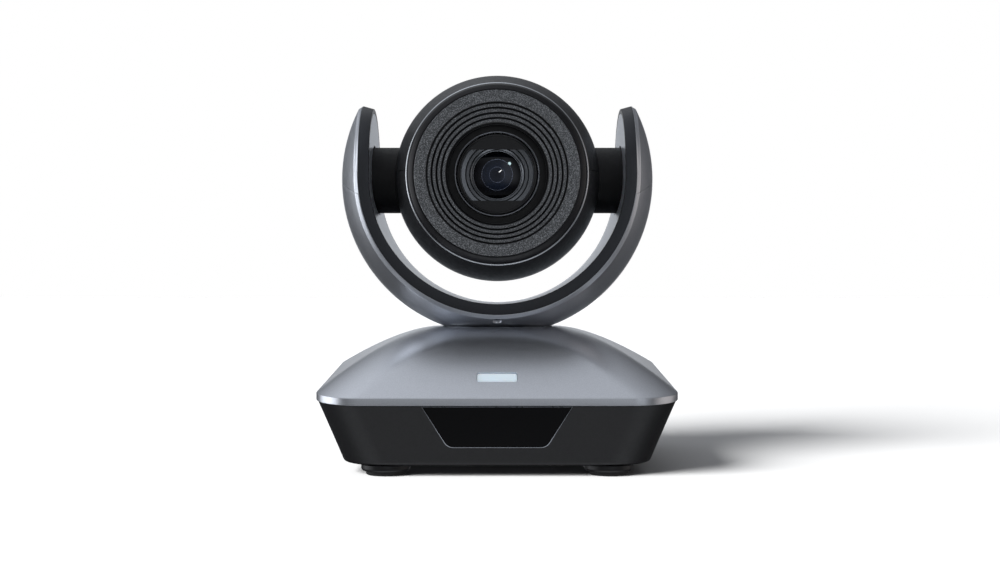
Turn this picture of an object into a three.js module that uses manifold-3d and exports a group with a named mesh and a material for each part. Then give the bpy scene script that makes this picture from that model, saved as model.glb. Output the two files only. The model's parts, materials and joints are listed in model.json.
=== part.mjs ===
// A small conference PTZ camera: a domed base, a U-shaped yoke that pans on it,
// and a round head that tilts between the yoke's arms.
// Millimetres, +Z up, front of the camera towards -Y, origin on the floor under the pan axis.

import * as THREE from 'three';
import { mergeVertices } from 'three/addons/utils/BufferGeometryUtils.js';
import Module from 'manifold-3d';

const wasm = await Module();
wasm.setup();

// ---------------------------------------------------------------- driving dimensions

const GAP = 0.3;                    // clearance between touching pieces
const WALL = 2.2;                   // moulded wall thickness

const BASE_HALF_WIDTH = 75;
const BASE_HALF_DEPTH = 67;
const BASE_CORNER = 19.5;
const RIM_FRONT_Z = 33.2;           // top edge of the rim band at the front
const RIM_SLOPE = 0.068;            // the rim rises towards the back
const RIM_HEIGHT = 3.0;
const NECK_Z = 60.1;                // top of the dome
const NECK_RADIUS = 26;
const NECK_HOLE = 23.2;
const DOME_POWER = 1.5;             // how quickly the dome flattens towards the neck
const HOUSING_TOP_INSET = 0.6;
const HOUSING_TAPER = 10;           // inset of the housing at its bottom edge
const BOTTOM_Z = 4.6;

const FOOT_X = 46.4;
const FOOT_Y = 46;
const FOOT_CUP_RADIUS = 10.2;
const FOOT_PAD_RADIUS = 8.2;
const FOOT_STEP_Z = 1.8;

const PANEL_TOP_WIDTH = 60.9;
const PANEL_BOTTOM_WIDTH = 40.4;
const PANEL_LENGTH = 18.6;          // along the sloping front wall
const WINDOW_WIDTH = 16.6;
const WINDOW_LENGTH = 5.4;
const WINDOW_T = 0.2;               // place of the window on the dome, 0 rim to 1 neck

const TILT_Z = 125.6;
const YOKE_INNER = 55.1;            // inner radius of the U
const YOKE_EDGE = 59.6;             // outer radius of the dark edge frame
const YOKE_CHAMFER = 61.5;          // outer radius at the front and rear edges
const YOKE_CROWN = 8.0;             // extra radius at mid-depth
const YOKE_HALF_DEPTH = 31;
const ARM_TOP = 33.2;               // height of the arm tips over the tilt axis
const YOKE_FLAT = -65.2;            // flat underside, from the tilt axis
const CAP_SEAM_TOP = -1.5;          // arched seam under each arm cap, from the tilt axis
const CAP_SEAM_DROP = 6.3;

const HEAD_RADIUS = 45.3;
const HEAD_WIDEST_Y = -7;
const HEAD_FRONT_Y = -38;
const HEAD_BACK_Y = 42;
const HEAD_SPLIT_Z = 2;
const FACE_Y = -43.9;
const FACE_RADIUS = 34.9;
const RIDGE_OUTER = 29.7;
const RIDGE_PITCH = 1.58;
const RIDGE_DEPTH = 1.2;
const RIDGE_COUNT = 5;
const TUNNEL_BACK_Y = -33;
const TRUNNION_RADIUS = 14.7;
const AXLE_RADIUS = 5;

const BARREL_RADIUS = 18;
const BARREL_FRONT_Y = -39.5;
const BARREL_BACK_Y = -16;
const HOOD_RADIUS = 15.4;
const HOOD_HALF_HEIGHT = 11.1;
const LENS_RADIUS = 10.4;

const GEAR_MODULE = 1.2;
const PAN_GEAR_TEETH = 40;
const PAN_PINION_TEETH = 10;
const GEAR_Z = 44.6;
const GEAR_THICKNESS = 3;

const SEGMENTS = 36;                // facets round the head and the large turned pieces
const MEDIUM = 24;                  // facets round the lens and trunnions
const FEW = 16;                     // facets round the small ones

// ---------------------------------------------------------------- finishes

const finish = (color, roughness, metalness = 0) =>
  new THREE.MeshStandardMaterial({ color, roughness, metalness });

const SILVER = finish(0x8f9196, 0.38, 0.85);
const GUNMETAL = finish(0x3f4247, 0.4, 0.8);
const LINER_GREY = finish(0xb9bbbf, 0.42, 0.6);
const BRIGHT_METAL = finish(0xd5d7da, 0.2, 1);
const STEEL = finish(0x9a9c9f, 0.35, 1);
const BRASS = finish(0xb8953f, 0.35, 1);
const CHARCOAL = finish(0x1d1e20, 0.55);
const GRAINED = finish(0x26272a, 0.75);
const GLOSS_BLACK = finish(0x050506, 0.08);
const SATIN_BLACK = finish(0x121314, 0.4);
const RUBBER = finish(0x0e0e0f, 0.9);
const WINDOW_WHITE = finish(0xdfe6ef, 0.3);
const GLASS = finish(0x10131c, 0.03);
const BOARD_GREEN = finish(0x14532f, 0.6);
const WHITE_PLASTIC = finish(0xe8e8e6, 0.5);

// ---------------------------------------------------------------- solid helpers

// Closed mesh of a geometry, with its faces turned outwards.
function solidOf(geometry) {
  const bare = geometry.index ? geometry.clone() : geometry;
  bare.deleteAttribute('normal');
  bare.deleteAttribute('uv');
  const merged = mergeVertices(bare, 1e-4);
  const position = merged.attributes.position.array;
  const index = merged.index.array;
  const faces = [];
  let volume = 0;
  const corner = (i) => new THREE.Vector3().fromArray(position, 3 * i);
  for (let i = 0; i < index.length; i += 3) {
    const [a, b, c] = [index[i], index[i + 1], index[i + 2]];
    if (a === b || b === c || c === a) continue;
    faces.push(a, b, c);
    volume += corner(a).dot(corner(b).cross(corner(c)));
  }
  const triVerts = Uint32Array.from(faces);
  if (volume < 0) triVerts.reverse();
  const mesh = new wasm.Mesh({ numProp: 3, vertProperties: Float32Array.from(position), triVerts });
  return new wasm.Manifold(mesh);
}

function geometryOf(solid) {
  const { vertProperties, triVerts } = solid.getMesh();
  const geometry = new THREE.BufferGeometry();
  geometry.setAttribute('position', new THREE.BufferAttribute(vertProperties, 3));
  geometry.setIndex(new THREE.BufferAttribute(triVerts, 1));
  geometry.computeVertexNormals();
  return geometry;
}

// Solid of revolution from [radius, height] points that close on themselves.
function turned(profile, axis = 'z', segments = SEGMENTS) {
  const points = [...profile, profile[0]].map(([radius, height]) => new THREE.Vector2(radius, height));
  const geometry = new THREE.LatheGeometry(points, segments);
  if (axis === 'z') geometry.rotateX(Math.PI / 2);
  if (axis === 'x') geometry.rotateZ(-Math.PI / 2);
  return solidOf(geometry);
}

const ring = (inner, outer, from, to, axis = 'z', segments = FEW) =>
  turned([[inner, from], [outer, from], [outer, to], [inner, to]], axis, segments);

const rod = (radius, from, to, axis = 'z', segments = FEW) => ring(0, radius, from, to, axis, segments);

function block(width, depth, height, x = 0, y = 0, z = 0) {
  const geometry = new THREE.BoxGeometry(width, depth, height);
  return solidOf(geometry.translate(x, y, z));
}

function plate(shape, thickness, curveSegments = 8) {
  return solidOf(new THREE.ExtrudeGeometry(shape, { depth: thickness, bevelEnabled: false, curveSegments }));
}

function polygon(points) {
  return new THREE.Shape(points.map(([x, y]) => new THREE.Vector2(x, y)));
}

function roundedRectangle(width, height, radius) {
  const [x, y] = [width / 2, height / 2];
  const shape = new THREE.Shape();
  shape.moveTo(radius - x, -y);
  shape.lineTo(x - radius, -y);
  shape.absarc(x - radius, radius - y, radius, -Math.PI / 2, 0);
  shape.lineTo(x, y - radius);
  shape.absarc(x - radius, y - radius, radius, 0, Math.PI / 2);
  shape.lineTo(radius - x, y);
  shape.absarc(radius - x, y - radius, radius, Math.PI / 2, Math.PI);
  shape.lineTo(-x, radius - y);
  shape.absarc(radius - x, radius - y, radius, Math.PI, 1.5 * Math.PI);
  return shape;
}

// Closed loft through rings of equal length: each ring joins the next, and the last joins the first.
function loft(rings) {
  const count = rings[0].length;
  const position = rings.flat(2);
  const index = [];
  rings.forEach((_, i) => {
    const [here, next] = [i * count, ((i + 1) % rings.length) * count];
    for (let j = 0; j < count; j += 1) {
      const k = (j + 1) % count;
      index.push(here + j, here + k, next + k, here + j, next + k, next + j);
    }
  });
  const geometry = new THREE.BufferGeometry();
  geometry.setAttribute('position', new THREE.Float32BufferAttribute(position, 3));
  geometry.setIndex(index);
  return solidOf(geometry);
}

// Rounded rectangle as a ring of points, with its height given for each y.
function section(halfWidth, halfDepth, radius, heightAt) {
  const steps = 6;
  const points = [];
  for (let quarter = 0; quarter < 4; quarter += 1) {
    const sideX = quarter === 0 || quarter === 3 ? 1 : -1;
    const sideY = quarter < 2 ? 1 : -1;
    for (let i = 0; i <= steps; i += 1) {
      const angle = (quarter + i / steps) * Math.PI / 2;
      const x = sideX * (halfWidth - radius) + radius * Math.cos(angle);
      const y = sideY * (halfDepth - radius) + radius * Math.sin(angle);
      points.push([x, y, heightAt(y)]);
    }
  }
  return points;
}

const mix = (from, to, share) => from + (to - from) * share;

const camera = new THREE.Group();
const yoke = new THREE.Group();
yoke.position.z = TILT_Z;
const head = new THREE.Group();
yoke.add(head);
camera.add(yoke);

function add(group, name, solid, material, place = [0, 0, 0], turn = [0, 0, 0]) {
  const mesh = new THREE.Mesh(geometryOf(solid), material);
  mesh.name = name;
  mesh.position.set(...place);
  mesh.rotation.set(...turn);
  group.add(mesh);
}

// ---------------------------------------------------------------- base: dome and rim

const rimTop = (y) => RIM_FRONT_Z + RIM_SLOPE * (y + BASE_HALF_DEPTH);
const housingTop = (y) => rimTop(y) - RIM_HEIGHT - GAP;

// Section of the dome at share t of the way from the rim to the neck, moved inwards and down.
function domeSection(t, inset = 0, drop = 0) {
  const halfWidth = mix(BASE_HALF_WIDTH, NECK_RADIUS, t) - inset;
  const halfDepth = mix(BASE_HALF_DEPTH, NECK_RADIUS, t) - inset;
  const radius = mix(BASE_CORNER, NECK_RADIUS - 0.4, t) - inset;
  const rise = (NECK_Z - RIM_FRONT_Z) * (1 - (1 - t) ** DOME_POWER);
  const heightAt = (y) => RIM_FRONT_Z + RIM_SLOPE * (y + BASE_HALF_DEPTH) * (1 - t) + rise - drop;
  return section(halfWidth, halfDepth, radius, heightAt);
}

// Point of the dome's front centre line at share t.
function domeFront(t) {
  const y = -mix(BASE_HALF_DEPTH, NECK_RADIUS, t);
  const z = RIM_FRONT_Z + RIM_SLOPE * (y + BASE_HALF_DEPTH) * (1 - t)
    + (NECK_Z - RIM_FRONT_Z) * (1 - (1 - t) ** DOME_POWER);
  return new THREE.Vector2(y, z);
}

function domeSlope(t) {
  const step = domeFront(t + 0.05).sub(domeFront(t - 0.05));
  return step.angle();
}

function topCover() {
  const steps = 7;
  const shares = Array.from({ length: steps + 1 }, (_, i) => i / steps);
  const rimInset = WALL;
  const rings = [
    section(BASE_HALF_WIDTH - rimInset, BASE_HALF_DEPTH - rimInset, BASE_CORNER - rimInset,
      (y) => rimTop(y) - RIM_HEIGHT),
    section(BASE_HALF_WIDTH, BASE_HALF_DEPTH, BASE_CORNER, (y) => rimTop(y) - RIM_HEIGHT),
    ...shares.map((t) => domeSection(t)),
    section(NECK_HOLE, NECK_HOLE, NECK_HOLE - 0.4, () => NECK_Z),
    section(NECK_HOLE, NECK_HOLE, NECK_HOLE - 0.4, () => NECK_Z - WALL),
    ...shares.slice(1).reverse().map((t) => domeSection(t, 1.7, 1.9)),
    domeSection(0, rimInset, 1.2),
  ];
  return loft(rings);
}

const windowPoint = domeFront(WINDOW_T);
const windowTurn = [domeSlope(WINDOW_T), 0, 0];
const windowPlace = [0, windowPoint.x, windowPoint.y];

// The status window is a rounded bar set a little below the dome's surface.
function windowCutter() {
  const width = WINDOW_WIDTH + 2 * GAP;
  const length = WINDOW_LENGTH + 2 * GAP;
  return plate(roundedRectangle(width, length, 1.2), 12)
    .translate([0, 0, -8])
    .rotate([THREE.MathUtils.radToDeg(windowTurn[0]), 0, 0])
    .translate(windowPlace);
}

add(camera, 'base_top_cover', topCover().subtract(windowCutter()), SILVER);
add(camera, 'status_window',
  plate(roundedRectangle(WINDOW_WIDTH, WINDOW_LENGTH, 0.9), 1.6).translate([0, 0, -2.4]),
  WINDOW_WHITE, windowPlace, windowTurn);

// ---------------------------------------------------------------- base: lower housing

const topHalfWidth = BASE_HALF_WIDTH - HOUSING_TOP_INSET;
const topHalfDepth = BASE_HALF_DEPTH - HOUSING_TOP_INSET;

// Section of the housing: share 0 at its top edge, 1 at its bottom edge.
function housingSection(share, inset = 0) {
  const taper = mix(0, HOUSING_TAPER, share) + inset;
  const heightAt = (y) => mix(housingTop(y), BOTTOM_Z, share);
  const corner = BASE_CORNER - HOUSING_TOP_INSET - inset;
  return section(topHalfWidth - taper, topHalfDepth - taper, corner, heightAt);
}

// A wall frame lies in the sloping wall: x across, y up the wall, z out of it.
function wallFrame(side) {
  const topZ = housingTop(side * BASE_HALF_DEPTH);
  const lean = Math.atan(HOUSING_TAPER / (topZ - BOTTOM_Z));
  const turn = [Math.PI / 2 + lean, 0, side > 0 ? Math.PI : 0, 'ZYX'];
  return { turn, lean, place: [0, side * topHalfDepth, topZ] };
}

function inWall(solid, frame) {
  const matrix = new THREE.Matrix4().makeRotationFromEuler(new THREE.Euler(...frame.turn));
  matrix.setPosition(...frame.place);
  return solid.transform(matrix.toArray());
}

const frontWall = wallFrame(-1);
const rearWall = wallFrame(1);
const REAR_PANEL = { width: 104, height: 19, down: 21 };

// Front panel outline, its top edge on the housing's top edge.
function panelOutline(grow, over) {
  const corner = 5;
  const top = PANEL_TOP_WIDTH / 2 + grow;
  const bottom = PANEL_BOTTOM_WIDTH / 2 + grow;
  const low = -PANEL_LENGTH - grow;
  const slope = (top - bottom) / (PANEL_LENGTH + grow);
  const shape = new THREE.Shape();
  shape.moveTo(-top - over * slope, over);
  shape.lineTo(-bottom - corner * slope, low + corner);
  shape.quadraticCurveTo(-bottom, low, -bottom + corner, low);
  shape.lineTo(bottom - corner, low);
  shape.quadraticCurveTo(bottom, low, bottom + corner * slope, low + corner);
  shape.lineTo(top + over * slope, over);
  return shape;
}

function lowerHousing() {
  const shell = loft([
    housingSection(0, WALL), housingSection(0), housingSection(0.92), housingSection(0.975, 0.5),
    housingSection(1, 1.5), housingSection(1, WALL + 0.8), housingSection(0.9, WALL),
  ]);
  const panelHole = inWall(plate(panelOutline(GAP, 3), 10).translate([0, 0, -5]), frontWall);
  const rearOutline = roundedRectangle(REAR_PANEL.width + 2 * GAP, REAR_PANEL.height + 2 * GAP, 2.3);
  const rearHole = inWall(plate(rearOutline, 10).translate([0, -REAR_PANEL.down, -5]), rearWall);
  return shell.subtract(panelHole).subtract(rearHole);
}

add(camera, 'base_lower_housing', lowerHousing(), SATIN_BLACK);
const frontPanel = plate(panelOutline(0, -0.8), WALL).translate([0, 0, -1.9]);
add(camera, 'front_panel', inWall(frontPanel, frontWall), GLOSS_BLACK);

const plateInset = HOUSING_TAPER + WALL + 0.8 + GAP;
const plateOutline = section(topHalfWidth - plateInset, topHalfDepth - plateInset,
  BASE_CORNER - HOUSING_TOP_INSET - WALL - 0.8 - GAP, () => 0);
const insertHole = rod(7 + GAP, 0, 20);
const bottomPlate = plate(polygon(plateOutline), 1.6).translate([0, 0, BOTTOM_Z]).subtract(insertHole);
add(camera, 'bottom_plate', bottomPlate, GUNMETAL);
add(camera, 'tripod_insert', ring(2.6, 7, BOTTOM_Z - 0.5, 13), BRASS);

for (const [row, y] of [['front', -FOOT_Y], ['rear', FOOT_Y]]) {
  for (const [side, x] of [['left', FOOT_X], ['right', -FOOT_X]]) {
    const cup = turned([
      [0, FOOT_STEP_Z], [FOOT_CUP_RADIUS - 0.6, FOOT_STEP_Z], [FOOT_CUP_RADIUS, FOOT_STEP_Z + 0.6],
      [FOOT_CUP_RADIUS, BOTTOM_Z - GAP], [0, BOTTOM_Z - GAP],
    ], 'z', FEW);
    add(camera, `foot_cup_${row}_${side}`, cup, SATIN_BLACK, [x, y, 0]);
    const pad = turned([[0, 0], [FOOT_PAD_RADIUS - 0.5, 0], [FOOT_PAD_RADIUS, 0.5],
      [FOOT_PAD_RADIUS, FOOT_STEP_Z - GAP], [0, FOOT_STEP_Z - GAP]], 'z', FEW);
    add(camera, `foot_pad_${row}_${side}`, pad, RUBBER, [x, y, 0]);
  }
}

// ---------------------------------------------------------------- base: rear panel and sockets

// Place across the rear panel and cut-out size of each connector.
const DC_JACK = { x: -40, width: 11, height: 11 };
const USB_PORT = { x: -22, width: 13.4, height: 12.4 };
const SERIAL_IN = { x: -1, radius: 7 };
const SERIAL_OUT = { x: 18, radius: 7 };
const DIP_SWITCH = { x: 38, width: 9, height: 9 };
const CONNECTOR_DEPTH = 12;
const CONNECTOR_PROUD = 0.6;
const panelDown = -REAR_PANEL.down;

const squareCut = ({ x, width, height }, grow, depth) =>
  block(width + 2 * grow, height + 2 * grow, depth, x, panelDown, 0);
const roundCut = ({ x, radius }, grow) => rod(radius + grow, -5, 5).translate([x, panelDown, 0]);

function rearPanel() {
  const outline = roundedRectangle(REAR_PANEL.width, REAR_PANEL.height, 2);
  let panel = plate(outline, 1.6).translate([0, panelDown, -2]);
  for (const hole of [DC_JACK, USB_PORT, DIP_SWITCH]) panel = panel.subtract(squareCut(hole, GAP, 10));
  for (const hole of [SERIAL_IN, SERIAL_OUT]) panel = panel.subtract(roundCut(hole, GAP));
  return panel;
}

// Connector bodies reach inwards from just proud of the panel.
const bodyMiddle = CONNECTOR_PROUD - 0.4 - CONNECTOR_DEPTH / 2;

const squareConnector = ({ x, width, height }) =>
  block(width, height, CONNECTOR_DEPTH, x, panelDown, bodyMiddle);

function dcJack() {
  const bore = rod(3.2, -9, 5).translate([DC_JACK.x, panelDown, 0]);
  return squareConnector(DC_JACK).subtract(bore);
}

function usbPort() {
  return squareConnector(USB_PORT).subtract(block(10.6, 9.6, 20, USB_PORT.x, panelDown, 0.5));
}

function serialSocket(spec) {
  const body = rod(spec.radius, bodyMiddle - CONNECTOR_DEPTH / 2, bodyMiddle + CONNECTOR_DEPTH / 2);
  return body.subtract(rod(4.9, -8, 5)).translate([spec.x, panelDown, 0]);
}

const LEVER = { width: 1.6, height: 2.2, travel: 2.4, spacing: 3.6 };

function dipSwitch() {
  const slotHeight = LEVER.height + LEVER.travel + 2 * GAP;
  let body = squareConnector(DIP_SWITCH);
  for (const side of [-1, 1]) {
    const x = DIP_SWITCH.x + side * LEVER.spacing / 2;
    body = body.subtract(block(LEVER.width + 2 * GAP, slotHeight, 4, x, panelDown, 0));
  }
  return body;
}

// A lever rests at the lower end of its slot.
function dipLever(side) {
  const x = DIP_SWITCH.x + side * LEVER.spacing / 2;
  return block(LEVER.width, LEVER.height, 2, x, panelDown - LEVER.travel / 2, -0.6);
}

add(camera, 'rear_panel', inWall(rearPanel(), rearWall), SATIN_BLACK);
add(camera, 'dc_jack', inWall(dcJack(), rearWall), CHARCOAL);
add(camera, 'usb_port', inWall(usbPort(), rearWall), STEEL);
add(camera, 'serial_in_socket', inWall(serialSocket(SERIAL_IN), rearWall), CHARCOAL);
add(camera, 'serial_out_socket', inWall(serialSocket(SERIAL_OUT), rearWall), CHARCOAL);
add(camera, 'dip_switch_body', inWall(dipSwitch(), rearWall), CHARCOAL);
add(camera, 'dip_lever_1', inWall(dipLever(-1), rearWall), WHITE_PLASTIC);
add(camera, 'dip_lever_2', inWall(dipLever(1), rearWall), WHITE_PLASTIC);

// ---------------------------------------------------------------- base: pan drive

const pitchRadius = (teeth) => teeth * GEAR_MODULE / 2;
const pinionY = pitchRadius(PAN_GEAR_TEETH) + pitchRadius(PAN_PINION_TEETH) + 0.1;

// Spur gear outline: straight-flanked teeth, narrowed a little for backlash.
function gear(teeth, bore) {
  const pitch = pitchRadius(teeth);
  const [root, tip] = [pitch - 1.25 * GEAR_MODULE, pitch + 0.9 * GEAR_MODULE];
  const tooth = 2 * Math.PI / teeth;
  const flanks = [[-0.34, root], [-0.12, tip], [0.12, tip], [0.34, root]];
  const points = [];
  for (let i = 0; i < teeth; i += 1) {
    for (const [share, radius] of flanks) {
      const angle = (i + share) * tooth;
      points.push([radius * Math.cos(angle), radius * Math.sin(angle)]);
    }
  }
  return plate(polygon(points), GEAR_THICKNESS).subtract(rod(bore, -1, GEAR_THICKNESS + 1));
}

const SHAFT_RADIUS = 8;
const BRACKET_Z = 41.6;
const BRACKET_THICKNESS = 2;
const MOTOR_SHAFT = 1.5;

function panBracket() {
  const outline = roundedRectangle(92, 88, 6);
  let bracket = plate(outline, BRACKET_THICKNESS).translate([0, 0, BRACKET_Z]);
  for (const x of [-40, 40]) {
    for (const y of [-26, 36]) {
      const legFoot = BOTTOM_Z + 1.6 + GAP;
      bracket = bracket.add(rod(3.5, legFoot, BRACKET_Z + 1, 'z', 12).translate([x, y, 0]));
    }
  }
  bracket = bracket.subtract(block(100, 20, 10, 0, -40, BRACKET_Z));
  bracket = bracket.subtract(rod(13 + GAP, 30, 50));
  return bracket.subtract(rod(3.2, 30, 50).translate([0, pinionY, 0]));
}

function panMotor() {
  const body = rod(12.5, 24, BRACKET_Z - GAP);
  const shaft = rod(MOTOR_SHAFT, 30, GEAR_Z + GEAR_THICKNESS, 'z', 12);
  return body.add(shaft).translate([0, pinionY, 0]);
}

function mainBoard() {
  const board = block(104, 84, 1.6, 0, 2, 17.8);
  const chips = [[26, -14, 14, 14], [-22, -10, 12, 18], [30, 18, 10, 8]]
    .map(([x, y, width, depth]) => block(width, depth, 2.4, x, y, 19.6));
  const legs = [-40, 40].flatMap((x) => [-26, 36].map((y) => rod(3.5 + GAP, 0, 50).translate([x, y, 0])));
  const populated = chips.reduce((solid, chip) => solid.add(chip), board);
  return legs.reduce((solid, leg) => solid.subtract(leg), populated);
}

add(camera, 'main_board', mainBoard(), BOARD_GREEN);
add(camera, 'pan_bracket', panBracket(), STEEL);
add(camera, 'pan_motor', panMotor(), STEEL);
add(camera, 'pan_bearing', ring(SHAFT_RADIUS + GAP, 13, BRACKET_Z - 3, BRACKET_Z + BRACKET_THICKNESS), STEEL);
add(camera, 'pan_pinion', gear(PAN_PINION_TEETH, MOTOR_SHAFT + GAP), BRASS,
  [0, pinionY, GEAR_Z]);
add(camera, 'pan_gear', gear(PAN_GEAR_TEETH, SHAFT_RADIUS + GAP), WHITE_PLASTIC, [0, 0, GEAR_Z]);

const TABLE_TOP = TILT_Z + YOKE_FLAT - GAP;
const turntable = turned([
  [4.5, 35], [SHAFT_RADIUS, 35], [SHAFT_RADIUS, 51], [13, 51], [13, 56.4], [NECK_HOLE - 0.7, 56.4],
  [NECK_HOLE - 0.7, TABLE_TOP], [4.5, TABLE_TOP],
], 'z', MEDIUM);
add(camera, 'pan_turntable', turntable, GUNMETAL);
add(camera, 'shaft_collar', ring(SHAFT_RADIUS + GAP, 11, 35.4, BRACKET_Z - 3 - GAP), STEEL);

// ---------------------------------------------------------------- yoke (from the tilt axis)

const crownRadius = (y) => YOKE_CHAMFER + YOKE_CROWN * (1 - (y / 30) ** 2);

// Crowned ring about the Y axis, its outside moved inwards by inset.
function crown(inset = 0) {
  const inner = 40;
  const steps = 8;
  const half = 30;
  const points = [[inner, -YOKE_HALF_DEPTH], [YOKE_EDGE + GAP - inset, -YOKE_HALF_DEPTH]];
  for (let i = 0; i <= steps; i += 1) {
    const y = -half * Math.cos(Math.PI * i / steps);
    points.push([crownRadius(y) - inset, y]);
  }
  points.push([YOKE_EDGE + GAP - inset, YOKE_HALF_DEPTH], [inner, YOKE_HALF_DEPTH]);
  return turned(points, 'y', 44);
}

// Side outline of the yoke, run right across in X: straight below the axis, a half ellipse above it.
function sideMask(inset = 0, floor = YOKE_FLAT) {
  const radius = YOKE_HALF_DEPTH - inset;
  const shape = new THREE.Shape();
  shape.moveTo(-radius, floor);
  shape.lineTo(radius, floor);
  shape.lineTo(radius, 0);
  shape.absellipse(0, 0, radius, ARM_TOP - inset, 0, Math.PI);
  return acrossX(shape, 160, 12);
}

// Extrudes a shape drawn in Y (right) and Z (up) along X, centred.
function acrossX(shape, length, curveSegments = 8) {
  const geometry = new THREE.ExtrudeGeometry(shape, { depth: length, bevelEnabled: false, curveSegments });
  geometry.translate(0, 0, -length / 2);
  geometry.rotateX(Math.PI / 2);
  geometry.rotateZ(Math.PI / 2);
  return solidOf(geometry);
}

// U-shaped prism: a half cylinder about Y below the axis, straight sides above it.
function uPrism(radius, depth = 80) {
  const shape = new THREE.Shape();
  shape.moveTo(radius, 45);
  shape.lineTo(-radius, 45);
  shape.lineTo(-radius, 0);
  shape.absarc(0, 0, radius, Math.PI, 2 * Math.PI);
  const geometry = new THREE.ExtrudeGeometry(shape, { depth, bevelEnabled: false, curveSegments: 22 });
  geometry.translate(0, 0, -depth / 2);
  geometry.rotateX(Math.PI / 2);
  return solidOf(geometry);
}

// Everything above the arched seam, run right across in X.
function aboveSeam(gap) {
  const steps = 8;
  const points = [[40, 60], [-40, 60]];
  for (let i = 0; i <= steps; i += 1) {
    const y = mix(-40, 40, i / steps);
    points.push([y, CAP_SEAM_TOP - CAP_SEAM_DROP * (y / YOKE_HALF_DEPTH) ** 2 + gap]);
  }
  return acrossX(polygon(points), 160);
}

const edgeWall = 2.1;
const outerBlock = crown().intersect(sideMask()).subtract(uPrism(YOKE_EDGE + GAP));
const hollow = crown(WALL).intersect(sideMask(edgeWall, YOKE_FLAT + WALL));
const outerSkin = outerBlock.subtract(hollow);
const cablePassage = rod(6, YOKE_FLAT - 5, -50);
const screwPlace = [0, -27.6, YOKE_FLAT + 2.6];
const SET_SCREW_RADIUS = 2.1;

function yokeShell() {
  const screwHole = rod(SET_SCREW_RADIUS + GAP, -34, -20, 'y', 16).translate([0, 0, screwPlace[2]]);
  return outerSkin.subtract(aboveSeam(-GAP / 2)).subtract(cablePassage).subtract(screwHole);
}

function armCap(side, boss) {
  const half = block(80, 100, 100, side * 40, 0, 0);
  const cap = outerSkin.intersect(aboveSeam(GAP / 2)).intersect(half);
  return boss ? cap.add(boss) : cap;
}

// Boss inside the left arm cap that carries its bearing; its lower half stays clear of the shell.
const bossTube = ring(8 + GAP, 11, 58.2, 70, 'x');
const bossRoot = bossTube.intersect(crown(1)).intersect(aboveSeam(GAP / 2));
const bearingBoss = bossTube.intersect(crown(WALL + GAP)).add(bossRoot);

const edgeFrame = uPrism(YOKE_EDGE).subtract(uPrism(YOKE_INNER))
  .intersect(sideMask()).subtract(sideMask(edgeWall));
const trunnionHole = rod(TRUNNION_RADIUS + 0.9, -70, 70, 'x', MEDIUM);
const liner = uPrism(YOKE_INNER + 2).subtract(uPrism(YOKE_INNER))
  .intersect(sideMask(edgeWall + GAP)).subtract(trunnionHole);

add(yoke, 'yoke_outer_shell', yokeShell(), SILVER);
add(yoke, 'yoke_edge_frame', edgeFrame, GUNMETAL);
add(yoke, 'yoke_inner_liner', liner, LINER_GREY);
add(yoke, 'arm_cap_left', armCap(1, bearingBoss), SILVER);
add(yoke, 'arm_cap_right', armCap(-1), SILVER);
add(yoke, 'yoke_set_screw', rod(SET_SCREW_RADIUS, -2, 2, 'y', 16), BRIGHT_METAL, screwPlace);

const BEARING_X = 58.4;
const BEARING_WIDTH = 2.8;
const bearing = () => ring(AXLE_RADIUS + GAP, 8, BEARING_X, BEARING_X + BEARING_WIDTH, 'x');
const stator = ring(8 + GAP, 20, BEARING_X, BEARING_X + BEARING_WIDTH, 'x', MEDIUM);
add(yoke, 'tilt_bearing_left', bearing(), STEEL);
add(yoke, 'tilt_bearing_right', bearing().mirror([1, 0, 0]), STEEL);
add(yoke, 'tilt_motor_stator', stator.mirror([1, 0, 0]), BRASS);

// ---------------------------------------------------------------- head (from the tilt axis)

// Radius of the head about the lens axis: an ellipse in front, a fuller curve behind.
function headRadius(y, inset) {
  const radius = HEAD_RADIUS - inset;
  const along = y - HEAD_WIDEST_Y;
  if (along < 0) return radius * Math.sqrt(1 - (along / 59.2) ** 2);
  const reach = HEAD_BACK_Y - inset - HEAD_WIDEST_Y;
  const power = 2.4;
  return radius * Math.max(0, 1 - (along / reach) ** power) ** (1 / power);
}

function headBody(inset, front) {
  const steps = 8;
  const points = [[0, front]];
  for (let i = 0; i <= 3; i += 1) {
    const y = mix(front, HEAD_WIDEST_Y, i / 3);
    points.push([headRadius(y, inset), y]);
  }
  for (let i = 1; i <= steps; i += 1) {
    const y = mix(HEAD_WIDEST_Y, HEAD_BACK_Y - inset, Math.sin(Math.PI / 2 * i / steps));
    points.push([i === steps ? 0 : headRadius(y, inset), y]);
  }
  return turned(points, 'y');
}

function headShell(side) {
  const shell = headBody(0, HEAD_FRONT_Y).subtract(headBody(WALL, HEAD_FRONT_Y - 5));
  const split = HEAD_SPLIT_Z + side * GAP / 2;
  const half = block(120, 120, 60, 0, 0, split + side * 30);
  return shell.intersect(half).subtract(rod(TRUNNION_RADIUS + GAP, -60, 60, 'x', MEDIUM));
}

add(head, 'head_upper_shell', headShell(1), CHARCOAL);
add(head, 'head_lower_shell', headShell(-1), CHARCOAL);

const seamRing = turned([
  [36.2, HEAD_FRONT_Y - GAP], [38.7, HEAD_FRONT_Y - GAP], [38.5, -39.3], [36.2, -39.3],
], 'y');
const bezel = turned([[35.3, -39.6], [38.2, -39.6], [37.9, -41.2], [36.9, -42.7], [35.3, -43.6]], 'y');
add(head, 'seam_ring', seamRing, BRIGHT_METAL);
add(head, 'front_bezel', bezel, GLOSS_BLACK);

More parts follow.
